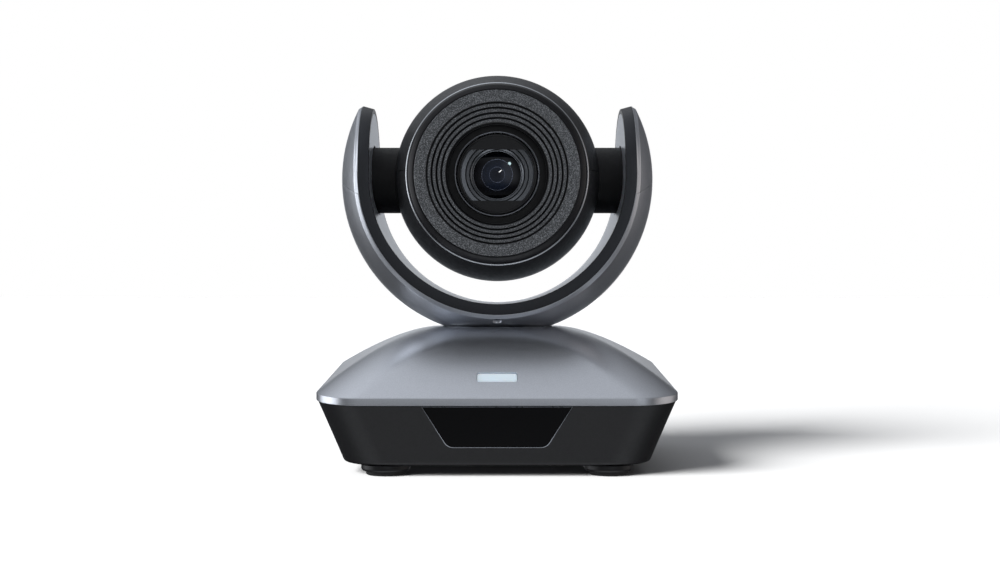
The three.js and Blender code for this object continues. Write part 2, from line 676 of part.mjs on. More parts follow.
// Face plate: a flat grained ring, then concentric steps down to the lens tunnel.
function facePlate() {
  const points = [[RIDGE_OUTER, FACE_Y]];
  for (let i = 1; i <= RIDGE_COUNT; i += 1) {
    const y = FACE_Y + RIDGE_DEPTH * i;
    points.push([RIDGE_OUTER - RIDGE_PITCH * (i - 1), y], [RIDGE_OUTER - RIDGE_PITCH * i, y]);
  }
  const tunnel = RIDGE_OUTER - RIDGE_PITCH * RIDGE_COUNT;
  points.push([tunnel, TUNNEL_BACK_Y], [tunnel + 2, TUNNEL_BACK_Y], [tunnel + 2, -35], [31.5, -40.4]);
  points.push([FACE_RADIUS, -40.4], [FACE_RADIUS, FACE_Y]);
  return turned(points, 'y');
}

add(head, 'face_plate', facePlate(), GRAINED);

const CHEEK_X = 32;
const trunnion = turned([[0, 33.4], [13, 33.4], [13, 36], [TRUNNION_RADIUS, 38], [TRUNNION_RADIUS, 57.8],
  [AXLE_RADIUS, 57.8], [AXLE_RADIUS, 63.6], [0, 63.6]], 'x', MEDIUM);
add(head, 'trunnion_left', trunnion, SATIN_BLACK);
add(head, 'trunnion_right', trunnion.mirror([1, 0, 0]), SATIN_BLACK);
add(head, 'tilt_motor_rotor', ring(AXLE_RADIUS + GAP, 19, 61.6, 63.4, 'x', MEDIUM).mirror([1, 0, 0]), STEEL);

// Chassis: a floor under the camera module and a cheek inside each trunnion.
function headChassis() {
  let chassis = block(2 * CHEEK_X, 26, 2, 0, -2, -21.5);
  for (const side of [-1, 1]) chassis = chassis.add(block(2, 26, 32, side * CHEEK_X, -2, -6.5));
  return chassis;
}

add(head, 'head_chassis', headChassis(), STEEL);

// ---------------------------------------------------------------- lens and camera module

const barrel = turned([
  [16.9, BARREL_FRONT_Y], [BARREL_RADIUS, BARREL_FRONT_Y], [BARREL_RADIUS, BARREL_BACK_Y],
  [13, BARREL_BACK_Y], [13, -28], [9.8, -28], [9.8, -31], [16.9, -31],
], 'y', MEDIUM);
add(head, 'lens_barrel', barrel, GUNMETAL);

// Hood: a disc with a round opening cut flat above and below.
function lensHood() {
  const slot = block(40, 40, 2 * HOOD_HALF_HEIGHT, 0, -40, 0);
  const opening = rod(HOOD_RADIUS, -45, -30, 'y', MEDIUM).intersect(slot);
  return rod(16.6, -38.9, -36.4, 'y', MEDIUM).subtract(opening);
}

add(head, 'lens_hood', lensHood(), SATIN_BLACK);
const retainer = turned([[LENS_RADIUS + GAP, -34], [12, -35.6], [16.6, -35.6], [16.6, -31.3],
  [LENS_RADIUS + GAP, -31.3]], 'y', MEDIUM);
add(head, 'lens_retainer', retainer, SATIN_BLACK);

// Front lens: its outer face bulges forwards.
function frontLens() {
  const steps = 6;
  const points = [[0, -31.4], [LENS_RADIUS, -31.4]];
  for (let i = 0; i < steps; i += 1) {
    const radius = LENS_RADIUS * (1 - i / steps);
    points.push([radius, -33 - 2.2 * (1 - (radius / LENS_RADIUS) ** 2)]);
  }
  points.push([0, -35.2]);
  return turned(points, 'y', MEDIUM);
}

add(head, 'front_lens', frontLens(), GLASS);

const MODULE = { width: 42, height: 38, front: -15.7, back: 20, wall: 2 };
const RODS = [[15, 13], [-15, -13]];
const ROD_RADIUS = 1;

function moduleFrame() {
  const depth = MODULE.back - MODULE.front;
  const middle = (MODULE.back + MODULE.front) / 2;
  const outer = block(MODULE.width, depth, MODULE.height, 0, middle, 0);
  const inner = block(MODULE.width - 2 * MODULE.wall, depth, MODULE.height - 2 * MODULE.wall,
    0, middle + MODULE.wall, 0);
  return outer.subtract(inner).subtract(rod(12, -30, 0, 'y'));
}

// A lens group: a round cell with a glass-sized hole and two eyes that run on the guide rods.
function lensGroup(from, to, bore) {
  const middle = (from + to) / 2;
  const bridge = block(34, to - from, 7, 0, middle, 0).intersect(rod(17, from, to, 'y'));
  let cell = rod(11, from, to, 'y').add(bridge);
  for (const [x, z] of RODS) {
    cell = cell.add(block(7, to - from, 14, x, middle, z * 0.6));
  }
  for (const [x, z] of RODS) {
    cell = cell.subtract(rod(ROD_RADIUS + GAP, -20, 25, 'y', 16).translate([x, 0, z]));
  }
  return cell.subtract(rod(bore, -20, (from + to) / 2, 'y'));
}

add(head, 'camera_module_frame', moduleFrame(), STEEL);
RODS.forEach(([x, z], i) => {
  const guide = rod(ROD_RADIUS, MODULE.front + MODULE.wall + GAP, 19.7, 'y', 16);
  add(head, `guide_rod_${i + 1}`, guide, STEEL, [x, 0, z]);
});
add(head, 'zoom_lens_group', lensGroup(-13, -7, 8.5), CHARCOAL);
add(head, 'focus_lens_group', lensGroup(7, 12, 7), CHARCOAL);
const sensorBoard = block(46, 1.6, 40, 0, MODULE.back + GAP + 0.8, 0)
  .add(block(10, 2.4, 8, 0, MODULE.back - 0.4, 0));
add(head, 'sensor_board', sensorBoard, BOARD_GREEN);

export default camera;
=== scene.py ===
# %% [markdown]
# # A small PTZ camera
# A domed base, a U-shaped yoke that pans on it, and a round head that tilts in the yoke.
# The CAD model is loaded first as a fixed frame: it says where every piece sits, what body it moves
# with and how large the whole object may be. This script only adds the fine surfaces and finishes.

# %% Load the frame
import json

import bmesh
import bpy
import numpy as np
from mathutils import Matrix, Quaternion, Vector


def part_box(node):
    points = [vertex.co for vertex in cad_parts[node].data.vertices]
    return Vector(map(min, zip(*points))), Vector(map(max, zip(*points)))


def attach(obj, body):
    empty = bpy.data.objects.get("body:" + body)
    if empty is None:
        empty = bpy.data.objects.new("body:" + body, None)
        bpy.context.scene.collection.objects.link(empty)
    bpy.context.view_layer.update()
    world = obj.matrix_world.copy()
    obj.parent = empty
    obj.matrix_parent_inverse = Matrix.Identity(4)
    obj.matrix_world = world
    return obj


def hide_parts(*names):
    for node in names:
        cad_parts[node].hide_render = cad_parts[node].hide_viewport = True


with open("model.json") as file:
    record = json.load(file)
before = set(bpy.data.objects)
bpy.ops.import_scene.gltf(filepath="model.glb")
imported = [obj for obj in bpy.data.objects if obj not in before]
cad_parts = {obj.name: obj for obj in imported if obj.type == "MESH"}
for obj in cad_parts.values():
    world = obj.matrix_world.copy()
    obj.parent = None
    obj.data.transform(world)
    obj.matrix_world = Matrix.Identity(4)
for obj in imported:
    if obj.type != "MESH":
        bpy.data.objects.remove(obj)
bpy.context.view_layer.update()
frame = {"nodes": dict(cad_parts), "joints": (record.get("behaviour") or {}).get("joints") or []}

MM = 0.001
nodes = frame["nodes"]
TILT_Z = next(joint for joint in frame["joints"] if joint["name"] == "tilt")["pos_m"][2] / MM
HEAD = (0, 0, TILT_Z)

# %% [markdown]
# ## Camera, floor and light
# The camera stands in front of the object, level, with a 50 mm lens. A level camera keeps upright
# edges upright. The light is a dim room with large soft panels above, at both sides and behind,
# because painted metal only looks like metal when it has something dark to mirror as well as
# something bright. The panels are drawn in the world shader, so they are smooth and cost no noise.

# %% Camera
EYE = (1.2, -625.0, 80.4)
view = bpy.data.cameras.new("view")
view.lens = 50.0
view.sensor_width = 36.0
view.clip_start = 0.01
camera = bpy.data.objects.new("view", view)
camera.location = [c * MM for c in EYE]
camera.rotation_euler = (np.pi / 2, 0, 0)
bpy.context.scene.collection.objects.link(camera)
bpy.context.scene.camera = camera
bpy.context.scene.view_settings.view_transform = "Standard"
print("camera at", [round(c, 4) for c in camera.location])


# %% Node helpers for materials and the world
def node(tree, kind, **inputs):
    """One shader node. A keyword that names an input sets it, any other keyword sets a property."""
    made = tree.nodes.new(kind)
    for key, value in inputs.items():
        name = key.replace("_", " ").title() if key.islower() else key
        if name in made.inputs:
            made.inputs[name].default_value = value
        else:
            setattr(made, key, value)
    return made


def ramp(tree, factor, stops):
    """A colour ramp: stops is a list of (place, grey or colour)."""
    made = tree.nodes.new("ShaderNodeValToRGB")
    while len(made.color_ramp.elements) < len(stops):
        made.color_ramp.elements.new(0.5)
    for element, (place, colour) in zip(made.color_ramp.elements, stops):
        element.position = place
        rgb = (colour,) * 3 if np.isscalar(colour) else tuple(colour)
        element.color = (*rgb, 1)
    tree.links.new(factor, made.inputs["Fac"])
    return made.outputs["Color"]


# %% World
def mask(tree, value, start, end):
    """Smooth step: 0 where value is at start, 1 where it reaches end, and an S-curve between."""
    step = node(tree, "ShaderNodeMapRange", interpolation_type="SMOOTHSTEP")
    step.inputs["From Min"].default_value = start
    step.inputs["From Max"].default_value = end
    tree.links.new(value, step.inputs["Value"])
    return step.outputs["Result"]


def vector_math(tree, operation, first, second):
    """One vector operation on a socket and either a socket or a fixed colour."""
    made = node(tree, "ShaderNodeVectorMath", operation=operation)
    tree.links.new(first, made.inputs[0])
    if isinstance(second, tuple):
        made.inputs[1].default_value = second
    else:
        tree.links.new(second, made.inputs[1])
    return made.outputs[0]


# Each panel: its colour and brightness, then the direction's parts that bound it. A bound goes from
# nothing at its first number to full at its second.
SOFTBOXES = [
    # overhead, overhead from the left, and high behind on the left
    ((0.14, 0.144, 0.152), [("Z", 0.30, 0.95)]),
    ((0.68, 0.705, 0.745), [("Z", 0.28, 0.98), ("X", 0.80, -0.35)]),
    ((0.16, 0.17, 0.18), [("Z", 0.00, 0.40), ("X", 0.50, -0.50), ("Y", 0.3, 0.9)]),
    # left, right and behind
    ((2.10, 2.16, 2.24), [("X", -0.78, -0.97), ("Z", -0.6, -0.15)]),
    ((0.66, 0.61, 0.58), [("X", 0.78, 0.97), ("Z", -0.55, -0.1)]),
    ((1.05, 1.08, 1.12), [("Y", 0.94, 0.99), ("Z", -0.3, -0.1)]),
    # in front, and in front on the right
    ((0.30, 0.31, 0.32), [("Y", -0.75, -0.95), ("Z", -0.35, -0.05)]),
    ((0.50, 0.52, 0.56), [("Y", -0.70, -0.90), ("X", 0.05, 0.30), ("Z", -0.3, 0.0)]),
    # below, where the bright floor would be mirrored
    ((0.18, 0.19, 0.20), [("Z", -0.25, -0.7), ("Y", 0.55, -0.1)]),
    ((1.70, 1.76, 1.84), [("Z", -0.62, -0.92), ("Y", 0.25, -0.25)]),
]
ROOM_GREY = (0.082, 0.084, 0.09)
ROOM_FADE = (-1.3, 0.1)  # the room's own grey fades downwards between these two values of Z


def room_light():
    """Dim room with soft panels of light: each panel is its colour times smooth steps of the
    direction's X, Y and Z parts, and all of them add up on the room's own grey."""
    world = bpy.data.worlds.new("room")
    bpy.context.scene.world = world
    world.use_nodes = True
    tree = world.node_tree
    tree.nodes.clear()
    place = node(tree, "ShaderNodeTexCoord")
    parts = node(tree, "ShaderNodeSeparateXYZ")
    tree.links.new(place.outputs["Generated"], parts.inputs[0])
    fade = mask(tree, parts.outputs["Z"], *ROOM_FADE)
    total = vector_math(tree, "MULTIPLY", fade, ROOM_GREY)
    for colour, limits in SOFTBOXES:
        panel = None
        for axis, start, end in limits:
            step = mask(tree, parts.outputs[axis], start, end)
            panel = step if panel is None else vector_math(tree, "MULTIPLY", panel, step)
        total = vector_math(tree, "ADD", total, vector_math(tree, "MULTIPLY", panel, colour))
    lit = node(tree, "ShaderNodeBackground", strength=1.0)
    tree.links.new(total, lit.inputs["Color"])
    seen = node(tree, "ShaderNodeBackground", color=(1, 1, 1, 1), strength=1.0)
    path = node(tree, "ShaderNodeLightPath")
    mix = node(tree, "ShaderNodeMixShader")
    out = node(tree, "ShaderNodeOutputWorld")
    tree.links.new(path.outputs["Is Camera Ray"], mix.inputs[0])
    tree.links.new(lit.outputs[0], mix.inputs[1])
    tree.links.new(seen.outputs[0], mix.inputs[2])
    tree.links.new(mix.outputs[0], out.inputs[0])


room_light()


# %% Floor
FLOOR_HALF = 6.0


def flat_floor(steps=24):
    """Square grid in metres: x and y run evenly from -half to half, z is 0."""
    line = np.linspace(-FLOOR_HALF, FLOOR_HALF, steps + 1)
    x, y = np.meshgrid(line, line)
    index = np.arange(x.size).reshape(x.shape)
    quads = np.stack([index[:-1, :-1], index[:-1, 1:], index[1:, 1:], index[1:, :-1]], -1).reshape(-1, 4)
    mesh = bpy.data.meshes.new("floor")
    mesh.from_pydata(np.stack([x, y, 0 * x], -1).reshape(-1, 3).tolist(), [], quads.tolist())
    floor = bpy.data.objects.new("floor", mesh)
    bpy.context.scene.collection.objects.link(floor)
    return floor


# %% [markdown]
# ## From formulas to meshes
# Every new piece is a grid of points worked out with numpy: a profile turned about an axis, or a
# section carried along a path. One helper turns a grid into a closed mesh. It welds the points that
# fall together at poles and seams, turns the faces outwards, and marks sharp edges, so that flat faces
# stay flat and round ones stay round.

# %% Mesh helpers
def surface(name, grid, close_rows=True, close_columns=True):
    """Mesh of quads through a grid of points in millimetres; closed in a direction when asked."""
    rows, columns = grid.shape[:2]
    index = np.arange(rows * columns).reshape(rows, columns)
    if close_rows:
        index = np.vstack([index, index[:1]])
    if close_columns:
        index = np.hstack([index, index[:, :1]])
    quads = np.stack([index[:-1, :-1], index[1:, :-1], index[1:, 1:], index[:-1, 1:]], -1).reshape(-1, 4)
    mesh = bpy.data.meshes.new(name)
    mesh.from_pydata((grid.reshape(-1, 3) * MM).tolist(), [], quads.tolist())
    piece = bpy.data.objects.new(name, mesh)
    bpy.context.scene.collection.objects.link(piece)
    return tidy(piece)


def tidy(piece, weld=1e-6, angle=32.0):
    """Welds doubled points, drops faces with no area, turns faces outwards and sets smooth shading."""
    work = bmesh.new()
    work.from_mesh(piece.data)
    bmesh.ops.remove_doubles(work, verts=work.verts, dist=weld)
    bmesh.ops.dissolve_degenerate(work, edges=work.edges, dist=weld)
    bmesh.ops.recalc_face_normals(work, faces=work.faces)
    work.to_mesh(piece.data)
    work.free()
    mesh = piece.data
    mesh.polygons.foreach_set("use_smooth", np.ones(len(mesh.polygons), bool))
    mesh.set_sharp_from_angle(angle=np.radians(angle))
    return piece


def ease_edges(piece, width, segments=2, angle=35.0):
    """Bevel modifier: rounds every edge sharper than angle by width millimetres. Weighted normals
    then keep the large faces flat up to the rounded edge."""
    bevel = piece.modifiers.new("edges", "BEVEL")
    bevel.width = width * MM
    bevel.segments = segments
    bevel.limit_method = "ANGLE"
    bevel.angle_limit = np.radians(angle)
    bevel.use_clamp_overlap = True
    weigh = piece.modifiers.new("flat_faces", "WEIGHTED_NORMAL")
    weigh.keep_sharp = True
    return piece


def carve(piece, *cutters, operation="DIFFERENCE"):
    """Cuts the cutters out of the piece (or keeps what they share) and removes the cutters."""
    for cutter in cutters:
        cut = piece.modifiers.new("cut", "BOOLEAN")
        cut.operation = operation
        cut.solver = "EXACT"
        cut.object = cutter
        bpy.context.view_layer.update()
        evaluated = piece.evaluated_get(bpy.context.evaluated_depsgraph_get())
        result = bpy.data.meshes.new_from_object(evaluated)
        piece.modifiers.clear()
        piece.data = result
        bpy.data.objects.remove(cutter)
    return tidy(piece)


# %% Profiles
def soften(points, radius, steps=4):
    """Closed outline with its corners rounded: each corner becomes a quadratic curve between the
    points that lie radius before and after it (at most 0.45 of the way along each side)."""
    here = np.array(points, float)
    before, after = np.roll(here, 1, 0), np.roll(here, -1, 0)

    def towards(other):
        side = other - here
        length = np.linalg.norm(side, axis=1, keepdims=True)
        return here + side * np.minimum(radius / length, 0.45)

    t = np.linspace(0, 1, steps + 1)[None, :, None]
    start, end = towards(before)[:, None], towards(after)[:, None]
    curve = (1 - t) ** 2 * start + 2 * t * (1 - t) * here[:, None] + t ** 2 * end
    return curve.reshape(-1, 2)


# For each axis: where the cosine, the sine and the height of a turned shape go
AXES = {"x": (1, 2, 0), "y": (2, 0, 1), "z": (0, 1, 2)}


def turned(name, profile, axis="z", centre=(0, 0, 0), steps=160, place=None):
    """Solid of revolution: each [radius, height] point of a closed profile goes round the axis, at
    radius times cosine and sine across it and at its height along it."""
    radius, height = np.array(profile, float).T
    angle = np.linspace(0, 2 * np.pi, steps, endpoint=False)[:, None]
    local = np.stack([radius * np.cos(angle), radius * np.sin(angle), height + 0 * angle], -1)
    grid = np.empty_like(local)
    grid[..., AXES[axis]] = local
    grid = grid if place is None else place(grid)
    return surface(name, grid + np.array(centre, float))


def rod(name, radius, start, end, axis="z", centre=(0, 0, 0), ease=0.0, steps=96):
    """A plain round bar from start to end along the axis."""
    profile = [[0, start], [radius, start], [radius, end], [0, end]]
    if ease:
        profile = [[0, start], [radius - ease, start], [radius, start + ease], [radius, end - ease],
                   [radius - ease, end], [0, end]]
    return turned(name, profile, axis, centre, steps)


def slab(name, outline, low, high, place=None):
    """Closed plate: a closed 2-D outline carried from low to high, its ends drawn to the middle."""
    flat = np.array(outline, float)
    middle = flat.mean(0)
    rings = [(middle, low), (flat, low), (flat, high), (middle, high)]
    grid = np.stack([np.column_stack([np.broadcast_to(ring, flat.shape), np.full(len(flat), z)])
                     for ring, z in rings])
    if place is not None:
        grid = place(grid)
    return surface(name, grid, close_rows=False)


def rounded_bar(width, height, radius, steps=8):
    """Outline of a rectangle with round corners, centred on the origin."""
    angle = np.linspace(0, np.pi / 2, steps + 1) + np.arange(4)[:, None] * np.pi / 2
    side_x = np.array([1, -1, -1, 1])[:, None] * (width / 2 - radius)
    side_y = np.array([1, 1, -1, -1])[:, None] * (height / 2 - radius)
    return np.stack([side_x + radius * np.cos(angle), side_y + radius * np.sin(angle)], -1).reshape(-1, 2)


def box_cutter(low, high):
    """A plain block between two corners."""
    (x0, y0, z0), (x1, y1, z1) = low, high
    return slab("cutter", [[x0, y0], [x1, y0], [x1, y1], [x0, y1]], z0, z1)


# %% [markdown]
# ## Finishes
# Every finish is built from the same few parts: a principled shader with its fixed numbers, a fine
# noise that varies its colour and roughness a little, and a finer one that drives a bump. Noise on
# Object coordinates is used because each object sits at the origin, so the grain has one scale
# everywhere and needs no UV map.

# %% Finish recipe
NOISE_LOW, NOISE_HIGH = 0.3, 0.7  # most of a noise lies between these two values
BUMP_DEPTH = 0.1 * MM


def finish(name, colour, roughness, metallic=0.0, spread=0.1, grain=400.0, bump=0.05, bump_grain=2500.0,
           rough_spread=0.05, settings=()):
    """Principled finish: colour times (1 +- spread) by noise, roughness +- rough_spread by a second
    noise, and a bump from the finest one. Grains are noise cells per metre."""
    made = bpy.data.materials.new(name)
    made.use_nodes = True
    tree = made.node_tree
    shader = tree.nodes["Principled BSDF"]
    shader.inputs["Metallic"].default_value = metallic
    for socket, value in dict(settings).items():
        shader.inputs[socket].default_value = value
    place = node(tree, "ShaderNodeTexCoord")

    def noise(scale, detail=2.0):
        texture = node(tree, "ShaderNodeTexNoise", scale=scale, detail=detail)
        tree.links.new(place.outputs["Object"], texture.inputs["Vector"])
        return texture.outputs["Fac"]

    def between(scale, low, high):
        return ramp(tree, noise(scale), [(NOISE_LOW, low), (NOISE_HIGH, high)])

    tints = (tuple(c * (1 + sign * spread) for c in colour) for sign in (-1, 1))
    tree.links.new(between(grain, *tints), shader.inputs["Base Color"])
    rough = (max(roughness - rough_spread, 0.0), roughness + rough_spread)
    tree.links.new(between(grain * 0.4, *rough), shader.inputs["Roughness"])
    relief = node(tree, "ShaderNodeBump", strength=bump, distance=BUMP_DEPTH)
    tree.links.new(noise(bump_grain, 3.0), relief.inputs["Height"])
    tree.links.new(relief.outputs["Normal"], shader.inputs["Normal"])
    return made


# %% Finishes of the covers
silver = finish("silver_paint", (0.57, 0.59, 0.63), 0.34, metallic=0.94, spread=0.06, grain=2600, bump=0.05)
edge_grey = finish("edge_gunmetal", (0.032, 0.034, 0.039), 0.38, metallic=0.7, spread=0.06, grain=2600)
liner_grey = finish("liner_grey", (0.70, 0.74, 0.80), 0.36, metallic=0.8, spread=0.04, grain=2600)
polished = finish("polished_ring", (0.55, 0.57, 0.60), 0.3, metallic=1.0, spread=0.03, bump=0.01)
charcoal = finish("charcoal_shell", (0.011, 0.0115, 0.0135), 0.4, spread=0.12, grain=1500, bump=0.06,
                  settings={"Specular IOR Level": 0.65})
bezel_black = finish("bezel_black", (0.007, 0.007, 0.0085), 0.32, spread=0.08, bump=0.02,
                     settings={"Specular IOR Level": 0.28})
housing_black = finish("housing_black", (0.0075, 0.0075, 0.0086), 0.4, spread=0.15, grain=1800, bump=0.12,
                       settings={"Specular IOR Level": 0.27})
panel_gloss = finish("panel_gloss", (0.0012, 0.0012, 0.0015), 0.06, spread=0.1, grain=60, bump=0.0,
                     rough_spread=0.01, settings={"Specular IOR Level": 0.05})
# The frosted window's emission is a painted glow: it brightens the bar evenly, though the bar holds no lamp.
frosted = finish("frosted_window_painted_glow", (0.88, 0.91, 0.94), 0.3, spread=0.02, grain=300, bump=0.03,
                 settings={"Subsurface Weight": 0.4, "Emission Color": (0.9, 0.95, 1.0, 1.0),
                           "Emission Strength": 0.32})
trunnion_black = finish("trunnion_black", (0.004, 0.004, 0.0048), 0.5, spread=0.12, grain=1500, bump=0.08,
                        settings={"Specular IOR Level": 0.25})
rubber = finish("foot_rubber", (0.011, 0.011, 0.012), 0.75, spread=0.2, grain=900, bump=0.25, bump_grain=3500)

# %% Finishes of the lens and the inside
lens_black = finish("lens_black", (0.0065, 0.0068, 0.0078), 0.4, spread=0.1, grain=1500, bump=0.04,
                    settings={"Specular IOR Level": 0.3})
barrel_grey = finish("barrel_grey", (0.2, 0.21, 0.23), 0.3, metallic=0.9, spread=0.08, grain=1500)
cell_satin = finish("cell_satin", (0.17, 0.18, 0.195), 0.32, metallic=0.85, spread=0.08, grain=1500)


LENS_REACH = 10.4  # distance from the lens axis, in mm, at which the last zone ends


def coated_lens():
    """Near-black glass whose tint depends on the distance from the lens axis: the pupil, a blue
    second element, and a black outer zone. Distance is the length of the (x, z) offset."""
    made = finish("coated_glass", (0.003, 0.004, 0.008), 0.03, spread=0.0, grain=80, bump=0.0,
                  rough_spread=0.005, settings={"Specular IOR Level": 0.3})
    tree = made.node_tree
    place = node(tree, "ShaderNodeTexCoord")
    offset = node(tree, "ShaderNodeMapping")
    offset.inputs["Location"].default_value = (0, 0, -HEAD[2] * MM)
    offset.inputs["Scale"].default_value = (1, 0, 1)
    tree.links.new(place.outputs["Object"], offset.inputs["Vector"])
    reach = node(tree, "ShaderNodeVectorMath", operation="LENGTH")
    tree.links.new(offset.outputs[0], reach.inputs[0])
    share = node(tree, "ShaderNodeMath", operation="DIVIDE")
    share.inputs[1].default_value = LENS_REACH * MM
    tree.links.new(reach.outputs["Value"], share.inputs[0])
    zones = [(0.0, (0.003, 0.004, 0.008)), (0.29, (0.004, 0.006, 0.012)), (0.34, (0.004, 0.007, 0.015)),
             (0.6, (0.003, 0.005, 0.011)), (0.66, (0.0012, 0.0015, 0.003)), (1.0, (0.001, 0.001, 0.0015))]
    tree.links.new(ramp(tree, share.outputs[0], zones), tree.nodes["Principled BSDF"].inputs["Base Color"])
    return made


coated_glass = coated_lens()
iris_blue = finish("iris_blue", (0.16, 0.18, 0.24), 0.25, metallic=0.8, spread=0.1, grain=800)
steel = finish("pressed_steel", (0.5, 0.505, 0.51), 0.34, metallic=1.0, spread=0.1, grain=500, bump=0.1)
brass = finish("turned_brass", (0.62, 0.45, 0.17), 0.3, metallic=1.0, spread=0.1, grain=500, bump=0.08)
board = finish("board_green", (0.018, 0.11, 0.045), 0.45, spread=0.35, grain=700, bump=0.2, bump_grain=900)
white_plastic = finish("white_plastic", (0.72, 0.72, 0.70), 0.45, spread=0.03, grain=500, bump=0.05)
floor_white = finish("floor_white", (0.36, 0.36, 0.36), 0.7, spread=0.0, grain=20, bump=0.0,
                     settings={"Specular IOR Level": 0.2})


# %% Grained face finish
def grained(name, colour, roughness):
    """Charcoal paint with fine pale grains: a sharp noise picks out the grains, and lifts them."""
    made = finish(name, colour, roughness, metallic=0.35, spread=0.3, grain=2600, bump=0.0)
    tree = made.node_tree
    shader = tree.nodes["Principled BSDF"]
    place = node(tree, "ShaderNodeTexCoord")
    grains = node(tree, "ShaderNodeTexNoise", scale=3000.0, detail=1.0)
    tree.links.new(place.outputs["Object"], grains.inputs["Vector"])
    low, high = tuple(c * 0.5 for c in colour), tuple(c * 2.5 for c in colour)
    tint = ramp(tree, grains.outputs["Fac"], [(0.46, low), (0.56, colour), (0.66, high)])
    tree.links.new(tint, shader.inputs["Base Color"])
    relief = node(tree, "ShaderNodeBump", strength=0.5, distance=BUMP_DEPTH)
    tree.links.new(grains.outputs["Fac"], relief.inputs["Height"])
    tree.links.new(relief.outputs["Normal"], shader.inputs["Normal"])
    return made


face_grain = grained("face_grain", (0.092, 0.097, 0.104), 0.42)


# %% Put a piece in place
def fit(piece, material, body, replaces=()):
    """Gives a piece its finish and its body, and hides the CAD nodes it stands for."""
    piece.data.materials.clear()
    piece.data.materials.append(material)
    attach(piece, body)
    if replaces:
        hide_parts(*replaces)
    return piece


SUN_ENERGY, SUN_SPREAD = 16.5, 34.0  # watts per square metre, degrees
SUN_TRAVEL = (0.62, 0.50, -0.46)  # to the right, to the back and down


def floor_and_sun():
    """The pale floor, and a wide soft sun from the front left that lights only the floor, so that the
    object's shadow falls back and to the right without a second highlight on the object."""
    floor = flat_floor()
    floor.data.materials.append(floor_white)
    floor.visible_glossy = False
    group = bpy.data.collections.new("floor_only")
    group.objects.link(floor)
    data = bpy.data.lights.new("floor_sun", "SUN")
    data.energy, data.angle = SUN_ENERGY, np.radians(SUN_SPREAD)
    sun = bpy.data.objects.new("floor_sun", data)
    sun.rotation_euler = Vector(SUN_TRAVEL).to_track_quat("-Z", "Y").to_euler()
    sun.light_linking.receiver_collection = group
    bpy.context.scene.collection.objects.link(sun)


floor_and_sun()
print("finishes:", len(bpy.data.materials))

# %% [markdown]
# ## The domed top cover
# The real cover is one moulding: a rim band all round, and a dome that runs from a rounded rectangle
# at the rim to a circle at the neck. It is lofted: at each share t of the way up, the section's half
# width, half depth and corner radius are mixed between rim and neck, and its height rises quickly at
# first and then flattens. The rim itself climbs towards the back.

# %% Dome sizes from the frame
low, high = (np.array(corner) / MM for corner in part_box("base_top_cover"))
HALF_WIDTH, HALF_DEPTH, NECK_Z = high[0], high[1], high[2]
CORNER, NECK_RADIUS, NECK_HOLE, ROUND_SLACK = 19.5, 26.0, 23.2, 0.4
RIM_FRONT_Z, RIM_SLOPE, RIM_HEIGHT, DOME_POWER = 33.2, 0.068, 3.0, 1.5
WALL = 2.2
print("cover", HALF_WIDTH * 2, "x", HALF_DEPTH * 2, "mm, neck at", NECK_Z)


def section(half_width, half_depth, radius, arc=20, side=12):
    """Rounded rectangle as a ring of points: four corner arcs joined by evenly divided sides."""
    angle = np.linspace(0, np.pi / 2, arc + 1) + np.arange(4)[:, None] * np.pi / 2
    centre_x = np.array([1, -1, -1, 1])[:, None] * (half_width - radius)
    centre_y = np.array([1, 1, -1, -1])[:, None] * (half_depth - radius)
    arcs = np.stack([centre_x + radius * np.cos(angle), centre_y + radius * np.sin(angle)], -1)
    share = np.linspace(0, 1, side + 1)[1:-1, None]
    sides = arcs[:, -1:] * (1 - share) + np.roll(arcs, -1, 0)[:, :1] * share
    return np.concatenate([arcs, sides], 1).reshape(-1, 2)


def rim_top(y):
    """Height of the rim's top edge: a straight climb towards the back."""
    return RIM_FRONT_Z + RIM_SLOPE * (y + HALF_DEPTH)


def dome_height(t, y):
    """Height of the dome at share t and depth y: the rim's climb fades out on the way up, and the
    rise is one less a power of the share that is left."""
    rise = (NECK_Z - RIM_FRONT_Z) * (1 - (1 - t) ** DOME_POWER)
    return RIM_FRONT_Z + RIM_SLOPE * (y + HALF_DEPTH) * (1 - t) + rise


def dome_ring(t, inset=0.0, drop=0.0):
    """Ring of the dome at share t, moved in by inset and down by drop. The corner stays a little
    under the neck's radius, so that the sides never vanish."""
    mix = lambda rim, neck: rim + (neck - rim) * t - inset
    corner = mix(CORNER, NECK_RADIUS - ROUND_SLACK)
    ring = section(mix(HALF_WIDTH, NECK_RADIUS), mix(HALF_DEPTH, NECK_RADIUS), corner)
    return np.column_stack([ring, dome_height(t, ring[:, 1]) - drop])


def rim_ring(inset, drop):
    """Ring of the rim band: inset from its face, drop below its top edge."""
    ring = section(HALF_WIDTH - inset, HALF_DEPTH - inset, CORNER - inset)
    return np.column_stack([ring, rim_top(ring[:, 1]) - drop])


def neck_ring(radius, height):
    """Circle at the neck with the same number of points as a dome ring."""
    ring = section(radius, radius, radius - ROUND_SLACK)
    return np.column_stack([ring, np.full(len(ring), height)])


# %% Build the cover
WINDOW_T, WINDOW_WIDTH, WINDOW_LENGTH = 0.2, 16.6, 5.4


def dome_front(t):
    """Point (y, z) of the dome's front centre line."""
    y = -(HALF_DEPTH + (NECK_RADIUS - HALF_DEPTH) * t)
    return np.array([y, dome_height(t, y)])


def on_dome(grid):
    """Moves a grid drawn flat (x across, y up the slope, z out) onto the dome at the window."""
    y, z = dome_front(WINDOW_T)
    rise = dome_front(WINDOW_T + 0.05) - dome_front(WINDOW_T - 0.05)
    c, s = rise / np.linalg.norm(rise)
    return np.stack([grid[..., 0], y + grid[..., 1] * c - grid[..., 2] * s,
                     z + grid[..., 1] * s + grid[..., 2] * c], -1)


